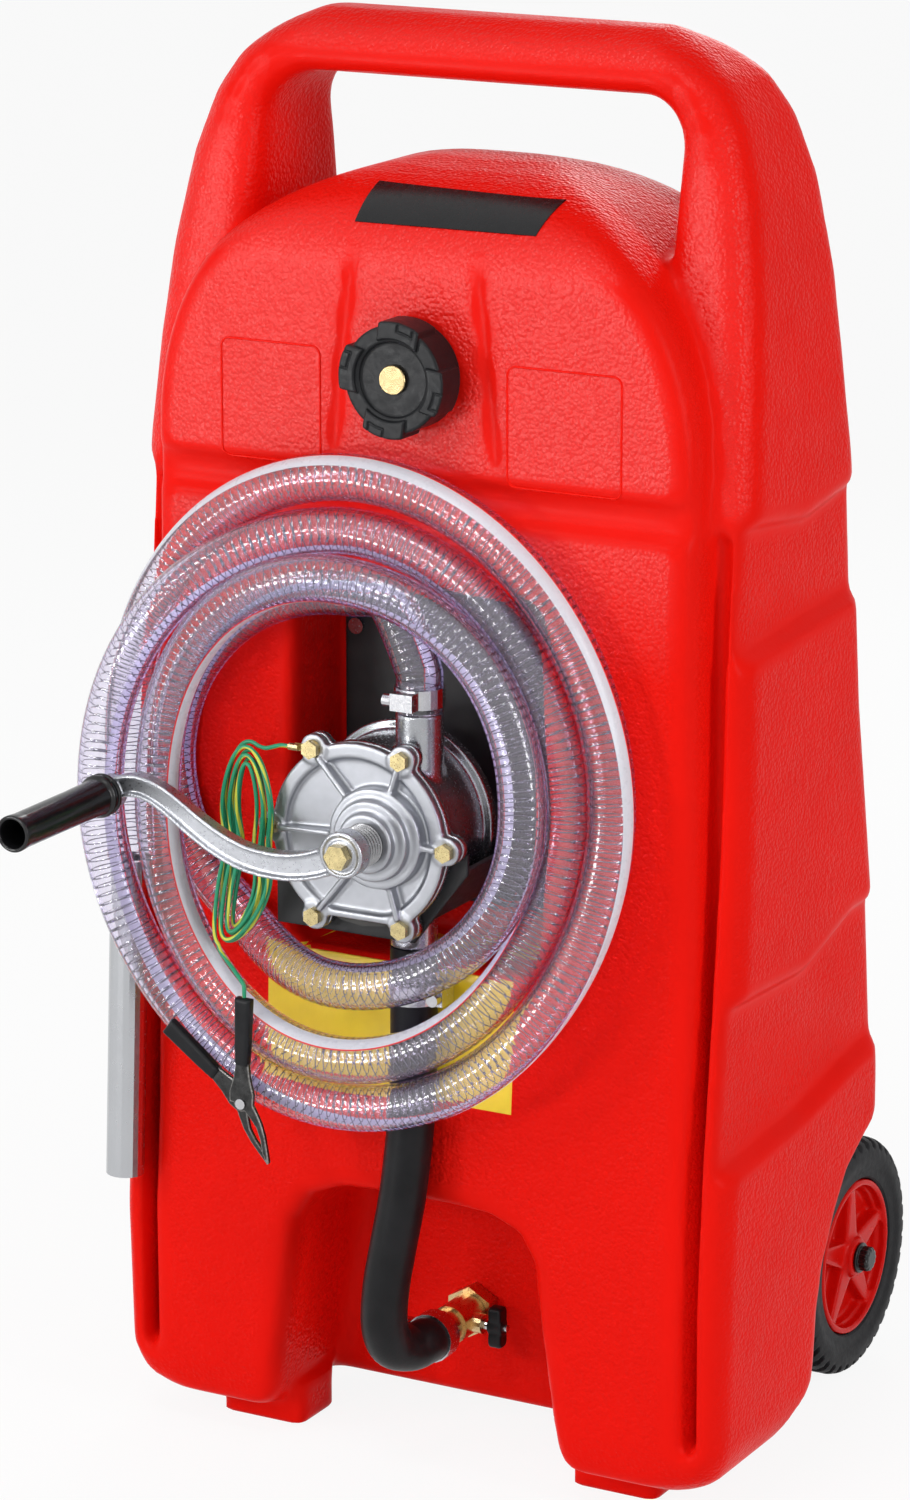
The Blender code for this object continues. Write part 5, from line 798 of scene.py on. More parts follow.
def tank_form(x, y, z):
    """Tank: flanks and body joined, then wells, recesses and grooves cut, feet added."""
    flank = flank_form(x, y, z)
    across = np.abs(x)
    groove = both(np.abs(across - 0.2016) - 0.006, y + 0.1566, 0.004)
    groove = both(groove, np.abs(z - 0.3525) - 0.3025, 0.012)
    flank = without(flank, groove, 0.008)
    body, front = body_form(x, y, z)
    form = either(flank, body, 0.006)
    well = outline_distance(y, z, WELL_SHARES * TYRE_RADIUS + np.array((AXLE_Y, TYRE_RADIUS)))
    form = without(form, both(well, WELL_INNER_X - across, 0.010), 0.010)
    seam = both(np.abs(z - 0.663) - 0.009, y + 0.185, 0.006)
    form = without(form, seam, 0.008)
    recess = both(rounded_slab(x, z - RECESS_Z, *RECESS), y - RECESS_BACK_Y, 0.010)
    form = without(form, recess, 0.008)
    right = FOOTWELL_SHARES * np.array(FOOTWELL_SIZE)
    left = right[::-1] * np.array((-1, 1))
    footwell = outline_distance(x, z, np.vstack((right, left)))
    form = without(form, both(footwell, y - FOOTWELL_BACK_Y, 0.014), 0.016)
    crease = stroke_distance(across, z, DOME_CREASE) - 0.0024
    form = without(form, both(crease, y - front - 0.0022, 0.002), 0.003)
    carrier = rounded_slab(y - CARRIER_Y, z - CARRIER_Z, *CARRIER)
    form = either(form, both(carrier, across - CARRIER_END_X, 0.006), 0.006)
    foot = both(rounded_slab(across - FOOT_X, y - FOOT_Y, *FOOT), z - 0.03, 0.004)
    form = either(form, foot, 0.008)
    neck = np.hypot(x, z - NECK_Z)
    form = either(form, both(neck - NECK_RADIUS, np.abs(y + 0.1955) - 0.0135, 0.002), 0.004)
    form = without(form, both(neck - NECK_BORE, y + 0.150, 0.002), 0.002)
    return both(form, -z, 0.0015)


def surface_net(field, corner, step):
    """Points and quads of a field's zero surface: one point a cell, at its edges' crossings."""
    inside = field < 0
    shape = np.array(field.shape) - 1
    total, count = np.zeros((*shape, 3)), np.zeros(shape)
    crossings = []
    for axis in range(3):
        low, high = (tuple(part if a == axis else slice(None) for a in range(3))
                     for part in (slice(0, -1), slice(1, None)))
        crossed = inside[low] != inside[high]
        index = np.argwhere(crossed)
        first, second = field[low][crossed], field[high][crossed]
        point = index.astype(float)
        point[:, axis] += first / (first - second)
        u, v = (axis + 1) % 3, (axis + 2) % 3
        cells = []
        for du, dv in ((1, 1), (0, 1), (0, 0), (1, 0)):
            cell = index.copy()
            cell[:, u] -= du
            cell[:, v] -= dv
            good = (cell >= 0).all(1) & (cell < shape).all(1)
            np.add.at(total, tuple(cell[good].T), point[good])
            np.add.at(count, tuple(cell[good].T), 1)
            cells.append(tuple(cell.T))
        crossings.append((cells, inside[low][crossed]))
    used = count > 0
    number = np.full(shape, -1)
    number[used] = np.arange(used.sum())
    quads = []
    for cells, starts_inside in crossings:
        quad = np.stack([number[cell] for cell in cells], 1)
        quads.append(np.where(starts_inside[:, None], quad, quad[:, ::-1]))
    return np.asarray(corner) + total[used] / count[used][:, None] * step, np.vstack(quads)


def tank_surface():
    """Tank surface from its field, worked out on one half and mirrored."""
    half = np.arange(0, HALF_WIDTH + 3 * TANK_STEP, TANK_STEP)
    y = np.arange(-0.218, 0.150, TANK_STEP)
    z = np.arange(-2.5 * TANK_STEP, HEIGHT + 3 * TANK_STEP, TANK_STEP)
    field = tank_form(half[:, None, None], y[None, :, None], z[None, None, :])
    return surface_net(np.concatenate((field[:0:-1], field)),
                       (-half[-1], y[0] + SHIFT_Y, z[0]), TANK_STEP)


tank = place_mesh("tank_moulding", *tank_surface(), TANK_RED, ("tank",), "tank_red", angle=180)


def mark_edges(piece, low=0.002, high=0.030):
    """Attribute edge_turn, 0 to 1: how far the surface turns between neighbours, averaged."""
    mesh = piece.data
    count = len(mesh.vertices)
    normals = np.zeros(count * 3)
    mesh.vertices.foreach_get("normal", normals)
    normals = normals.reshape(-1, 3)
    ends = np.zeros(len(mesh.edges) * 2, int)
    mesh.edges.foreach_get("vertices", ends)
    a, b = ends.reshape(-1, 2).T
    turn = 1 - (normals[a] * normals[b]).sum(1)
    most = np.zeros(count)
    np.maximum.at(most, a, turn)
    np.maximum.at(most, b, turn)
    value = np.clip((most - low) / (high - low), 0, 1)
    links = np.bincount(a, minlength=count) + np.bincount(b, minlength=count) + 1.0
    for _ in range(2):
        value = (value + np.bincount(a, value[b], count) + np.bincount(b, value[a], count)) / links
    mesh.attributes.new("edge_turn", "FLOAT", "POINT").data.foreach_set("value", value)


mark_edges(tank)


def tank_face(x, z):
    """How far back the tank lies behind each place (x, z), found by halving the way 26 times."""
    near, far = np.full(x.shape, -0.240), np.full(x.shape, -0.100)
    for _ in range(26):
        middle = (near + far) / 2
        inside = tank_form(x, middle, z) < 0
        near, far = np.where(inside, near, middle), np.where(inside, middle, far)
    return near


def sticker(name, corners, columns, rows, lift, finish):
    """Thin sheet on the tank: a grid between four corners (x, z), laid on the surface."""
    a, b, c, d = np.array(corners)
    s = np.linspace(0, 1, columns)[:, None, None]
    t = np.linspace(0, 1, rows)[None, :, None]
    flat = (1 - s) * ((1 - t) * a + t * c) + s * ((1 - t) * b + t * d)
    sheet = np.stack((flat[..., 0], tank_face(flat[..., 0], flat[..., 1]) + SHIFT_Y, flat[..., 1]), -1)
    out = unit(np.cross(np.gradient(sheet, axis=0), np.gradient(sheet, axis=1)))
    out *= np.where(out[..., 1:2] > 0, -1, 1)
    skins = np.concatenate((sheet + lift * out, (sheet - 0.0012 * out)[:, ::-1]), axis=1)
    place_mesh(name, *solid_cord(skins), finish, angle=60)


sticker("dome_plain_sticker",
        ((-0.0495, 0.8315), (0.0790, 0.8322), (-0.0505, 0.8525), (0.0830, 0.8505)),
        60, 16, 0.0006, STICKER_BLACK)
sticker("panel_plain_label", ((-0.110, 0.262), (0.073, 0.262), (-0.110, 0.3535), (0.073, 0.3535)),
        60, 28, 0.0004, LABEL_YELLOW)

BEAD_Z, BEAD_HALF_Z, BEAD_CORNER, BEAD_RADIUS = 0.7135, 0.0385, 0.006, 0.0008


def outline_bead(middle_x, half_x):
    """Thin bead half sunk in the tank: a round cord along a rectangle with rounded corners."""
    turn = np.linspace(0, np.pi / 2, 7)
    line = []
    for i, (side_x, side_z) in enumerate(((1, 1), (-1, 1), (-1, -1), (1, -1))):
        angle = turn + i * np.pi / 2
        x = middle_x + side_x * (half_x - BEAD_CORNER) + BEAD_CORNER * np.cos(angle)
        z = BEAD_Z + side_z * (BEAD_HALF_Z - BEAD_CORNER) + BEAD_CORNER * np.sin(angle)
        line.append(np.stack((x, z), 1))
    line = np.vstack(line)
    line = np.vstack([start + (end - start) * np.linspace(0, 1, 12, endpoint=False)[:, None]
                      if np.hypot(*(end - start)) > 0.01 else start[None]
                      for start, end in zip(line, np.roll(line, -1, axis=0))])
    depth = tank_face(line[:, 0], line[:, 1]) + SHIFT_Y
    along = unit(np.roll(line, -1, axis=0) - np.roll(line, 1, axis=0))
    angle = round_angles(8)[None]
    out, across = BEAD_RADIUS * np.cos(angle), BEAD_RADIUS * np.sin(angle)
    points = np.stack((line[:, :1] - along[:, 1:] * across, depth[:, None] - out,
                       line[:, 1:] + along[:, :1] * across), -1)
    return points, ring_faces(len(line), 8, closed=True)


place_mesh("panel_bead_left", *outline_bead(-0.1045, 0.0365), BEAD_RED, angle=80)
place_mesh("panel_bead_right", *outline_bead(0.1070, 0.0400), BEAD_RED, angle=80)


# Pieces worked out as forms

def formed_piece(name, form, low, high, step, finish, slot, replaces=(), body="chassis", side=1):
    """Piece made from a form's skin inside a box, mirrored across the middle where side is -1."""
    x, y, z = (np.arange(a - 1.5 * step, b + 2.5 * step, step) for a, b in zip(low, high))
    field = form(x[:, None, None], y[None, :, None], z[None, None, :])
    points, quads = surface_net(field, (x[0], y[0], z[0]), step)
    return place_mesh(name, (points + SHIFT) * np.array((side, 1, 1)), quads, finish, replaces, slot,
                      body, 180)


PUMP_X, PUMP_Z, SHAFT_X, SHAFT_Z = -0.0144, 0.4468, 0.0015, 0.4503
COVER_BACK_Y, BOSS_STEP, BOLT_REACH, INLET_TOP_Z = -0.234, 0.0065, 0.0643, 0.4268
HOUSING_FRONT_Y, FLANGE_BACK_Y, HOUSING_BACK_Y = -0.2326, -0.2266, -0.1692
FLANGE_RADIUS, FLANGE_BOTTOM_Z, EAR_RADIUS = 0.0625, 0.3925, 0.0092
BRACKET_LEFT_X, BRACKET_RIGHT_X, BRACKET_FRONT_Y = -0.082, 0.0585, -0.2263
BRACKET_BOTTOM_Z, BRACKET_TOP_Z = 0.3785, 0.4570
INLET_X, SPIGOT_RADIUS, SPIGOT_BORE, SHAFT_HOLE = 0.0096, 0.0155, 0.0098, 0.0073
BOLT_ANGLES = [math.radians(120 - 60 * i) for i in range(6)]
BOLT_PLACES = [(PUMP_X + BOLT_REACH * math.cos(a), PUMP_Z + BOLT_REACH * math.sin(a))
               for a in BOLT_ANGLES]


def with_ears(form, x, y, z, front, back):
    """The form with a round ear for each bolt, between two planes."""
    for bolt_x, bolt_z in BOLT_PLACES:
        ear = drum(np.hypot(x - bolt_x, z - bolt_z), EAR_RADIUS, y, front, back, 0.0012)
        form = either(form, ear, 0.003)
    return form


def cover_form(x, y, z):
    """Pump cover: a dished disc with bolt ears, a rib to each ear and a boss in three steps."""
    reach = np.hypot(x - PUMP_X, z - PUMP_Z)
    form = drum(reach, FLANGE_RADIUS, y, COVER_FACE_Y, COVER_BACK_Y, 0.0014)
    form = both(form, FLANGE_BOTTOM_Z - z, 0.002)
    form = with_ears(form, x, y, z, COVER_FACE_Y, COVER_BACK_Y)
    form = without(form, both(both(reach - 0.0530, 0.3975 - z, 0.002), y + 0.2366, 0.0035), 0.0012)
    shaft = np.hypot(x - SHAFT_X, z - SHAFT_Z)
    for bolt_x, bolt_z in BOLT_PLACES:
        far = 1 - 0.0075 / math.hypot(bolt_x - SHAFT_X, bolt_z - SHAFT_Z)
        end = (SHAFT_X + (bolt_x - SHAFT_X) * far, SHAFT_Z + (bolt_z - SHAFT_Z) * far)
        rib = to_stretch(x, z, (SHAFT_X, SHAFT_Z), end) - 0.0019
        top = -0.2445 + 0.035 * np.maximum(shaft - 0.033, 0.0)
        form = either(form, both(both(rib, top - y, 0.0015), y + 0.2352, 0.001), 0.0015)
    for step, radius in enumerate((0.033, 0.0265, 0.0195)):
        front = COVER_FACE_Y - BOSS_STEP * (step + 1)
        form = either(form, drum(shaft, radius, y, front, -0.2352, 0.0016), 0.0018)
    form = without(form, shaft - SHAFT_HOLE, 0.0006)
    return without(form, both(shaft - 0.0120, y + 0.2501, 0.0004), 0.0004)


formed_piece("pump_cover_casting", cover_form, (-0.091, -0.2600, 0.370), (0.062, -0.2335, 0.523),
             0.00095, CAST, "cast_aluminium", ("pump_cover",))


def housing_form(x, y, z):
    """Pump housing: a drum with a flange, bolt ears, a back rim and two spigots."""
    reach = np.hypot(x - PUMP_X, z - PUMP_Z)
    form = drum(reach, 0.0580, y, HOUSING_FRONT_Y, HOUSING_BACK_Y, 0.003)
    flange = drum(reach, FLANGE_RADIUS, y, HOUSING_FRONT_Y, FLANGE_BACK_Y, 0.0012)
    form = either(form, both(flange, FLANGE_BOTTOM_Z - z, 0.001), 0.002)
    form = either(form, drum(reach, 0.0640, y, -0.1780, HOUSING_BACK_Y, 0.0016), 0.0025)
    form = with_ears(form, x, y, z, HOUSING_FRONT_Y, FLANGE_BACK_Y)
    outlet, inlet = (np.hypot(x - spigot_x, y - OUTLET_Y) for spigot_x in (OUTLET_X, INLET_X))
    form = either(form, drum(outlet, SPIGOT_RADIUS, z, 0.4668, OUTLET_TOP_Z, 0.0014), 0.003)
    form = either(form, drum(inlet, SPIGOT_RADIUS, z, 0.3720, INLET_TOP_Z, 0.0014), 0.003)
    form = either(form, drum(inlet, 0.0117, z, 0.3310, INLET_TOP_Z, 0.0010), 0.0008)
    form = without(form, both(outlet - SPIGOT_BORE, 0.4900 - z, 0.001), 0.001)
    return without(form, both(inlet - SPIGOT_BORE, z - 0.4000, 0.001), 0.0006)


formed_piece("pump_housing_casting", housing_form, (-0.091, -0.2330, 0.330), (0.062, -0.1690, 0.529),
             0.0012, HOUSING_CAST, "cast_aluminium", ("pump_housing",))


def bracket_form(x, y, z):
    """Pump bracket: a back plate, a flange round the drum, and two arms folded back from it."""
    back = both(np.abs(x) - 0.0875, between(z, BRACKET_BOTTOM_Z, 0.5920), 0.004)
    back = both(back, between(y, -0.1263, -0.1233), 0.0006)
    for screw_x, screw_z in ((0.0785, 0.5552), (0.0680, 0.4050)):
        back = without(back, np.hypot(np.abs(x) - screw_x, z - screw_z) - 0.0028, 0.0003)
    outline = ((BRACKET_LEFT_X, BRACKET_BOTTOM_Z), (0.0196, BRACKET_BOTTOM_Z),
               (BRACKET_RIGHT_X, 0.4290), (BRACKET_RIGHT_X, 0.4425), (0.030, 0.4425),
               (0.030, BRACKET_TOP_Z), (BRACKET_LEFT_X, BRACKET_TOP_Z))
    flange = both(outline_distance(x, z, outline), between(y, BRACKET_FRONT_Y, -0.2233), 0.0006)
    flange = without(flange, np.hypot(x - PUMP_X, z - PUMP_Z) - 0.0592, 0.0004)
    flange = without(flange, np.hypot(x - INLET_X, y - OUTLET_Y) - 0.0165, 0.0004)
    for bolt_x, bolt_z in BOLT_PLACES:
        flange = without(flange, np.hypot(x - bolt_x, z - bolt_z) - 0.0036, 0.0003)
    left = both(between(x, BRACKET_LEFT_X, -0.079), between(z, BRACKET_BOTTOM_Z, BRACKET_TOP_Z),
                0.0006)
    right = to_stretch(x, z, (0.0310, 0.3965), (0.0565, 0.4322)) - 0.0015
    arms = both(np.minimum(left, right), between(y, BRACKET_FRONT_Y, -0.1250), 0.0006)
    return np.minimum(np.minimum(back, flange), arms)


formed_piece("pump_bracket_plates", bracket_form, (-0.089, -0.2266, 0.377), (0.089, -0.1228, 0.5935),
             0.0011, POWDER_BLACK, "black_powder_coat", ("pump_bracket",))

GLAND_RADIUS, GLAND_BORE, GLAND_BACK_Y, GLAND_FRONT_Y = 0.0123, 0.0074, -0.2601, -0.2757
THREAD_TURNS, THREAD_STEPS, THREAD_WAVE = 5, 8, 0.0017


def gland_profile():
    """Round-threaded sleeve: its radius with a cosine wave added along it, five turns of it."""
    place = np.linspace(GLAND_BACK_Y, GLAND_FRONT_Y, THREAD_TURNS * THREAD_STEPS + 1)
    turns = np.linspace(0, 2 * np.pi * THREAD_TURNS, len(place))
    wall = np.stack((GLAND_RADIUS + THREAD_WAVE * np.cos(turns), place), 1)
    return np.vstack(((GLAND_BORE, place[0]), wall, (GLAND_BORE, place[-1]), (GLAND_BORE, place[0])))


place_mesh("gland_thread", *turn_profile(gland_profile(), SHAFT_X, SHAFT_Z, 48), GLAND_STEEL,
           ("gland_sleeve",), "bright_steel", angle=50)

CRANK_LENGTH, ARM_FRONT_Y, ARM_BACK_Y, GRIP_FRONT_Y = 0.1758, -0.28727, -0.27627, -0.39457
ARM_SHARES = np.array((
    (0, 0), (-0.12, -0.055), (-0.25, -0.082), (-0.40, -0.074), (-0.52, -0.035), (-0.62, 0.018),
    (-0.71, 0.075), (-0.79, 0.118), (-0.87, 0.137), (-0.94, 0.125), (-1, 0.0935),
))
ARM_LINE = smooth_line(np.insert(ARM_SHARES, 1, 0.0, axis=1) * CRANK_LENGTH, 3)[:, ::2]
ARM_LINE = ARM_LINE + np.array((SHAFT_X, SHAFT_Z))
ARM_HALVES = np.linspace(0.0095, 0.0067, len(ARM_LINE))
EYE_X, EYE_Z = ARM_LINE[-1]


def crank_form(x, y, z):
    """Crank arm: a curved bar, hollowed in front and behind between rims, with hub and eye."""
    arm = np.inf
    for start, end, half in zip(ARM_LINE[:-1], ARM_LINE[1:], ARM_HALVES):
        arm = np.minimum(arm, to_stretch(x, z, start, end) - half)
    form = both(arm, between(y, ARM_FRONT_Y, ARM_BACK_Y), 0.0014)
    for hollow in (y - ARM_FRONT_Y, ARM_BACK_Y - y):
        form = without(form, both(arm + 0.0027, hollow - 0.0033, 0.0010), 0.0010)
    hub = np.hypot(x - SHAFT_X, z - SHAFT_Z)
    form = either(form, drum(hub, 0.0153, y, -0.2891, ARM_BACK_Y, 0.0018), 0.0025)
    form = without(form, both(np.abs(hub - 0.0112) - 0.0013, y + 0.2879, 0.0006), 0.0006)
    eye = np.hypot(x - EYE_X, z - EYE_Z)
    form = either(form, drum(eye, 0.0115, y, ARM_FRONT_Y, ARM_BACK_Y, 0.0014), 0.002)
    form = without(form, both(hub - SHAFT_HOLE, -0.2880 - y, 0.0005), 0.0005)
    return without(form, eye - 0.0053, 0.0005)


formed_piece("crank_arm_casting", crank_form, (-0.188, -0.2895, 0.428), (0.020, -0.2723, 0.492),
             0.0009, ARM_CAST, "cast_aluminium", ("crank_arm",), body="crank")


def crank_grip_profile():
    """Hollow grip with two collar rings at its root and a rolled lip at its mouth."""
    base, front = ARM_FRONT_Y - GAP, GRIP_FRONT_Y
    corners = np.array((
        (0.0053, base), (0.0140, base), (0.0142, base - 0.0030), (0.0122, base - 0.0036),
        (0.0122, base - 0.0048), (0.0142, base - 0.0054), (0.0142, base - 0.0080),
        (0.0120, base - 0.0105), (0.0116, base - 0.0400), (0.0115, front + 0.0100),
        (0.0120, front + 0.0035), (0.0120, front), (0.0094, front), (0.0093, base - 0.0100),
        (0.0053, base - 0.0100), (0.0053, base),
    ))
    return round_profile(corners, 0.0012, 4)


place_mesh("crank_grip_sleeve", *turn_profile(crank_grip_profile(), EYE_X, EYE_Z, 56), GRIP_BLACK,
           ("crank_grip",), "black_plastic", "grip", 40)


CAP_RADIUS, CAP_LUG_RADIUS, CAP_DISH_RADIUS, CAP_TURN = 0.0345, 0.0375, 0.0240, math.radians(10)


def cap_form(x, y, z):
    """Filler cap: a cup with a dished crown and four grip lugs, each with an inset block."""
    up = z - NECK_Z
    reach = np.hypot(x, up)
    turn = (np.arctan2(up, x) + CAP_TURN + np.pi / 4) % (np.pi / 2) - np.pi / 4
    along = turn * reach
    form = drum(reach, CAP_RADIUS, y, -0.2184, -0.1916, 0.0016)
    lug = both(both(reach - CAP_LUG_RADIUS, np.abs(along) - 0.0150, 0.0012), 0.0262 - reach, 0.0010)
    form = either(form, both(lug, between(y, -0.2213, -0.1975), 0.0012), 0.0006)
    inset = both(between(reach, 0.0318, 0.0392), between(along, -0.0105, 0.0005), 0.0004)
    form = without(form, both(np.abs(inset) - 0.0005, y + 0.2203, 0.0004), 0.0004)
    form = without(form, both(reach - CAP_DISH_RADIUS, y + 0.2157, 0.0012), 0.0012)
    form = without(form, both(reach - 0.0285, -0.2119 - y, 0.0006), 0.0008)
    return without(form, reach - 0.0034, 0.0003)


formed_piece("filler_cap_moulding", cap_form, (-0.038, -0.2216, 0.7030), (0.038, -0.1912, 0.7800),
             0.0007, BLACK_PLASTIC, "black_plastic", ("fuel_cap",), body="cap")


# Suction hose

SUCTION_RADIUS, SUCTION_BORE, SUCTION_SIDES, SUCTION_STEP = 0.0155, 0.0126, 40, 0.0025
SUCTION_ROUTE = (
    (0.0096, -0.2088, 0.3717), (0.0096, -0.2088, 0.347), (0.0096, -0.2088, 0.327),
    (0.0094, -0.2090, 0.300), (0.0088, -0.2102, 0.266), (0.0074, -0.2128, 0.235),
    (0.0042, -0.2158, 0.200), (-0.001, -0.2180, 0.168), (-0.0062, -0.2188, 0.138),
    (-0.0100, -0.2150, 0.110), (-0.0100, -0.2050, 0.0915), (-0.0044, -0.1900, 0.0850),
    (-0.0006, -0.1790, 0.086), (0.0, -0.1710, 0.086), (0.0, -0.1590, 0.086),
)

suction_line = evenly(smooth_line(SUCTION_ROUTE, 10), SUCTION_STEP) + SHIFT
suction_along = unit(np.gradient(suction_line, axis=0))
suction_front = unit(np.cross(suction_along, np.cross(np.array((1.0, 0.0, 0.0)), suction_along)))
place_mesh("suction_hose_rubber", *pipe(suction_line, SUCTION_RADIUS, SUCTION_BORE, SUCTION_SIDES,
                                        suction_front, np.cross(suction_along, suction_front)),
           HOSE_BLACK, ("suction_hose",), "black_rubber", angle=60)


# Wheels

TYRE_WIDTH, WHEEL_X, TREAD_BLOCKS, TREAD_DEPTH, CHEVRON_SLOPE = 0.042, 0.164, 42, 0.0034, 9.0
SPOKE_COUNT, SPOKE_END, SPOKE_BACK_X, AXLE_BORE = 5, 0.051, 0.1640, 0.0064
TYRE_CORNERS = np.array((
    (0.656, -0.45), (0.74, -0.455), (0.82, -0.50), (0.955, -0.465), (1.0, -0.33), (1.0, 0.33),
    (0.955, 0.465), (0.82, 0.50), (0.74, 0.455), (0.656, 0.45), (0.656, -0.45),
))


def tyre_surface(side):
    """Tyre: a rounded section turned about the axle, with chevron grooves across its tread."""
    section = round_profile(TYRE_CORNERS * np.array((TYRE_RADIUS, TYRE_WIDTH)), 0.004, 6)
    steps = lengths_along(section)
    places = np.linspace(0, steps[-1], 61)
    radius, across = (np.interp(places, steps, section[:, i])[:, None] for i in (0, 1))
    angle = round_angles(TREAD_BLOCKS * 10)[None]
    wave = np.cos(TREAD_BLOCKS * angle + CHEVRON_SLOPE * np.abs(across) / TYRE_WIDTH)
    groove = np.clip((wave - 0.35) / 0.35, 0, 1)
    middle_groove = np.clip(1.6 - np.abs(across) / 0.0016, 0, 1)
    on_tread = np.clip((radius / TYRE_RADIUS - 0.90) / 0.06, 0, 1)
    radius = radius - TREAD_DEPTH * on_tread * np.maximum(groove, middle_groove)
    points = np.broadcast_arrays(side * (WHEEL_X + across), AXLE_Y + SHIFT_Y + radius * np.cos(angle),
                                 TYRE_RADIUS + radius * np.sin(angle))
    return np.stack(points, -1), ring_faces(*points[1].shape)


def rim_form(x, y, z):
    """Right-hand rim: a band, a hub, and five spokes that widen towards it before a closed dish."""
    u, v = y - AXLE_Y, z - TYRE_RADIUS
    reach = np.hypot(u, v)
    form = both(between(reach, 0.0499, 0.0543), between(x, 0.1452, 0.1828), 0.0012)
    form = either(form, both(between(reach, 0.0478, 0.0522), between(x, 0.1672, 0.1758), 0.0012), 0.002)
    for angle in math.pi / 2 + round_angles(SPOKE_COUNT):
        far = (SPOKE_END * math.cos(angle), SPOKE_END * math.sin(angle))
        width = 0.0112 - 0.0068 * np.clip(reach / SPOKE_END, 0, 1)
        spoke = to_stretch(u, v, (0.0, 0.0), far) - width
        form = either(form, both(spoke, between(x, SPOKE_BACK_X, 0.1795), 0.0022), 0.003)
    dish_front = 0.1672 + 0.0030 * reach / SPOKE_END
    form = either(form, drum(reach, SPOKE_END, x, SPOKE_BACK_X, dish_front, 0.001), 0.004)
    form = either(form, drum(reach, 0.0135, x, 0.1186, 0.1849, 0.0015), 0.004)
    return without(form, reach - AXLE_BORE, 0.0004)


def axle_cap_form(x, y, z):
    """Right-hand axle cap: a flat flange and a domed crown with twelve small ribs."""
    u, v = y - AXLE_Y, z - TYRE_RADIUS
    reach = np.hypot(u, v)
    ribs = 0.0004 * np.cos(12 * np.arctan2(v, u))
    form = drum(reach, 0.0107, x, 0.1853, 0.1874, 0.0008)
    return either(form, drum(reach - ribs, 0.0084, x, 0.1853, 0.1947, 0.0030), 0.0006)


for tag, side in (("right", 1), ("left", -1)):
    formed_piece("axle_cap_ribbed_" + tag, axle_cap_form, (0.1852, AXLE_Y - 0.0112, 0.0724),
                 (0.1949, AXLE_Y + 0.0112, 0.0948), 0.0005, GRIP_BLACK, "black_plastic",
                 ("axle_cap_" + tag,), side=side)
    place_mesh("tyre_tread_" + tag, *tyre_surface(side), TYRE_BLACK, ("tyre_" + tag,), "tyre_black",
               "wheel_" + tag, 30)
    formed_piece("spoked_rim_" + tag, rim_form, (0.1180, AXLE_Y - 0.056, 0.028),
                 (0.1855, AXLE_Y + 0.056, 0.139), 0.0014, RIM_RED, "rim_red", ("wheel_rim_" + tag,),
                 "wheel_" + tag, side)


# Valve handle and clip

TEE_Y, VALVE_Z = -0.1311, 0.086


def tee_form(x, y, z):
    """Valve handle: an upright bar with rounded ends and a waist, on a round boss."""
    up = z - VALVE_Z
    waist = 0.0055 - 0.0012 * np.exp(-(up / 0.0045) ** 2)
    bar = both(np.abs(y - TEE_Y) - waist, np.abs(up) - 0.0143, 0.004)
    form = both(bar, between(x, 0.0245, 0.0343), 0.0022)
    boss = np.hypot(y - TEE_Y, up) - 0.0052
    return either(form, both(boss, between(x, 0.0236, 0.0344), 0.0010), 0.0015)


formed_piece("valve_tee", tee_form, (0.0232, -0.1372, 0.0710), (0.0348, -0.1250, 0.1010), 0.00045,
             BLACK_PLASTIC, "black_plastic", ("valve_handle",), body="valve")

# Outlines as shares of the handle's or the jaw's length, along it and across
CLIP_HANDLE_SIDE = ((1.0, 0.040), (0.90, 0.052), (0.42, 0.060), (0.24, 0.085), (0.10, 0.125),
                    (0.0, 0.120))
CLIP_JAW_OUTER = ((-0.02, 0.150), (0.14, 0.185), (0.38, 0.195), (0.60, 0.165), (0.82, 0.105),
                  (1.0, 0.050))
CLIP_JAW_INNER = ((1.0, 0.004), (0.94, 0.020), (0.91, 0.004), (0.86, 0.022), (0.83, 0.004),
                  (0.78, 0.026), (0.72, 0.040), (0.60, 0.072), (0.42, 0.088), (0.26, 0.050),
                  (0.12, 0.006))
# The sleeve's: shares of the handle's length along it, and of the sleeve's half width across
CLIP_SLEEVE_SIDE = ((0.36, -0.72), (0.55, -0.85), (1.0, -0.95))
CLIP_SLEEVE_THICKNESS, CLIP_SLEEVE_WIDTH, CLIP_PIVOT_RADIUS = 0.0078, 0.0125, 0.0054


def clip_outline(shares, length, width, angle):
    """Outline (x, z) of shares of a length along a direction from the pivot, and a width across."""
    return np.array([clip_point(a * length, b * width, angle) for a, b in shares])


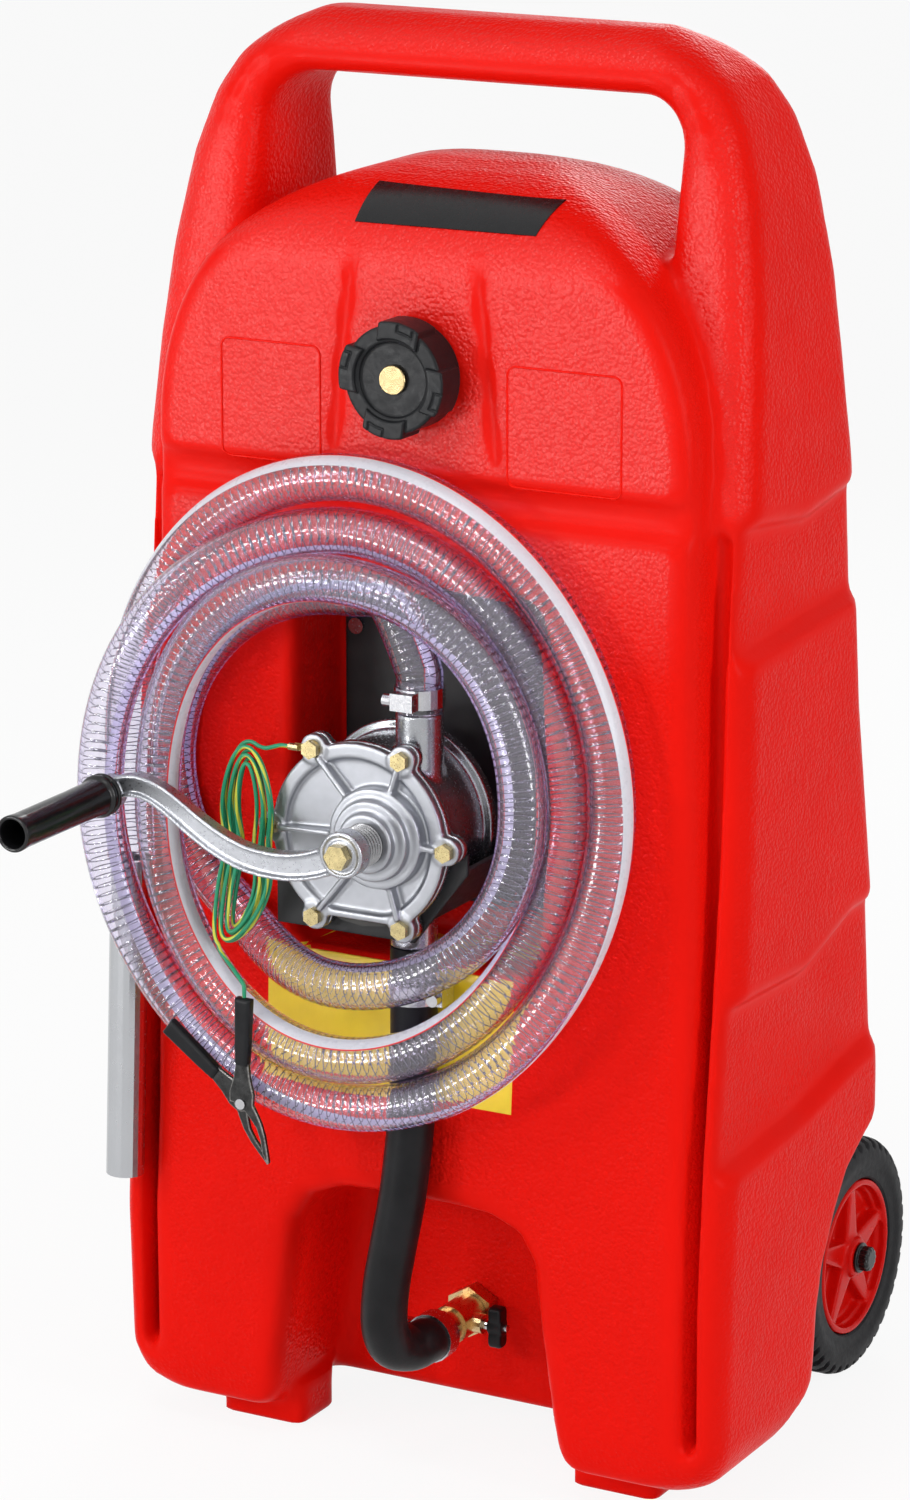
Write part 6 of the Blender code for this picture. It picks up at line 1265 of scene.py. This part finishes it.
def clip_half(tag, handle_angle, jaw_side, low, body):
    """Half of the clip: a pressed plate with a toothed jaw, and the sleeve on its handle."""
    whole_handle, whole_sleeve = (side + tuple((a, -b) for a, b in side[::-1])
                                  for side in (CLIP_HANDLE_SIDE, CLIP_SLEEVE_SIDE))
    handle = clip_outline(whole_handle, CLIP_HANDLE_LENGTH, CLIP_HANDLE_LENGTH, handle_angle)
    jaw = clip_outline(CLIP_JAW_OUTER + CLIP_JAW_INNER, CLIP_JAW_LENGTH, jaw_side * CLIP_JAW_LENGTH,
                       CLIP_JAW_ANGLE)
    cover = clip_outline(whole_sleeve, CLIP_HANDLE_LENGTH, CLIP_SLEEVE_WIDTH / 2, handle_angle)
    middle = low + CLIP_PLATE / 2

    def plate_form(x, y, z):
        flat = np.minimum(outline_distance(x, z, handle), outline_distance(x, z, jaw))
        flat = np.minimum(flat, np.hypot(x - CLIP_X, z - CLIP_Z) - CLIP_PIVOT_RADIUS)
        return both(flat, np.abs(y - middle) - CLIP_PLATE / 2, 0.0008)

    def sleeve_form(x, y, z):
        flat = outline_distance(x, z, cover)
        return both(flat, np.abs(y - middle) - CLIP_SLEEVE_THICKNESS / 2, 0.0028)

    def clip_box(outline, reach):
        (low_x, low_z), (far_x, far_z) = outline.min(0) - 0.001, outline.max(0) + 0.001
        return (low_x, middle - reach, low_z), (far_x, middle + reach, far_z)

    plate = formed_piece("clip_plate_" + tag, plate_form,
                         *clip_box(np.vstack((handle, jaw, cover)), 0.0025), 0.0005, CLIP_STEEL,
                         "black_powder_coat", ("clip_half_" + tag,), body)
    mark_edges(plate, 0.02, 0.25)
    formed_piece("clip_sleeve_" + tag, sleeve_form, *clip_box(cover, 0.0045), 0.0006, BLACK_PLASTIC,
                 "black_plastic", body=body)


clip_half("fixed", CLIP_HANDLE_ANGLES[0], 1, CLIP_FRONT_Y, "chassis")
clip_half("moving", CLIP_HANDLE_ANGLES[1], -1, CLIP_FRONT_Y + CLIP_PLATE + GAP, "clip")


# Plain finishes of the carried-over nodes

for finish, names in (
        (STEEL, "pump_shaft pump_rotor grip_pin inlet_clamp outlet_clamp valve_clamp "
                "inlet_clamp_screw outlet_clamp_screw valve_clamp_screw axle valve_stem "
                "valve_handle_screw clip_rivet bracket_screw_1 bracket_screw_2 bracket_screw_3 "
                "bracket_screw_4"),
        (DRAWN, "spout"),
        (PASSIVATED, "cover_bolt_1 cover_bolt_2 cover_bolt_3 cover_bolt_4 cover_bolt_5 "
                     "cover_bolt_6 crank_bolt earth_lug"),
        (VENT_BRASS, "vent_screw"),
        (BRASS, "valve_body outlet_fitting valve_ball"),
        (BLACK_PLASTIC, "rotor_vane_1 rotor_vane_2"),
        (HOSE_BLACK, "cap_gasket shaft_seal"),
        (GASKET, "cover_gasket")):
    for name in names.split():
        NODES[name].data.materials.clear()
        NODES[name].data.materials.append(finish)


# Floor, background and lamps

def seen_directly(tree):
    """1 for rays from the camera and those that a gloss or glass passes on, otherwise 0."""
    ray = tree.nodes.new("ShaderNodeLightPath")
    seen = ray.outputs["Is Camera Ray"]
    for kind in ("Is Glossy Ray", "Is Transmission Ray"):
        seen = maths(tree, "MAXIMUM", seen, ray.outputs[kind])
    return seen


floor_finish, floor_tree, floor_shader, _ = new_finish("floor_pale", (0.9, 0.9, 0.9), 0.7)
show_mixed(floor_tree, maths(floor_tree, "MULTIPLY", seen_directly(floor_tree), 0.90),
           floor_shader.outputs[0], new_node(floor_tree, "Emission", Strength=1.0).outputs[0])
floor_mesh = bpy.data.meshes.new("floor")
floor_mesh.from_pydata([(-12, -12, 0), (12, -12, 0), (12, 12, 0), (-12, 12, 0)], [], [(0, 1, 2, 3)])
floor_mesh.materials.append(floor_finish)
floor = bpy.data.objects.new("floor", floor_mesh)
bpy.context.scene.collection.objects.link(floor)

world = bpy.data.worlds.new("studio")
bpy.context.scene.world = world
world.use_nodes = True
sky = world.node_tree
put(sky, sky.nodes["Background"], Color=(1.0, 1.0, 1.0, 1.0),
    Strength=spread(sky, seen_directly(sky), 0.42, 1.0, 0.0, 1.0))

# Soft rectangular lamps: watts, width, height, place, and the height on the middle line they face
for name, watts, width, height, place, target_z in (
        ("key_left", 13.0, 0.22, 1.1, (-1.6, -2.1, 1.6), 0.5),
        ("sheen_low", 6.5, 0.40, 0.26, (-0.95, -1.7, 0.42), 0.72),
        ("sheen_high", 5.5, 0.40, 0.26, (-0.27, -1.9, 1.12), 0.72),
        ("fill_right", 23.0, 0.5, 1.6, (2.5, -0.6, 1.3), 0.5),
        ("top_soft", 10.0, 0.9, 0.35, (0.0, -1.1, 2.5), 0.6),
        ("back_soft", 12.0, 0.9, 0.9, (-0.6, 2.4, 1.6), 0.5)):
    data = bpy.data.lights.new(name, "AREA")
    data.shape = "RECTANGLE"
    data.size, data.size_y, data.energy = width, height, watts
    light = bpy.data.objects.new(name, data)
    light.location = place
    light.visible_camera = False
    light.rotation_euler = (math.atan2(math.hypot(place[0], place[1]), place[2] - target_z), 0.0,
                            math.atan2(place[0], -place[1]))
    bpy.context.scene.collection.objects.link(light)
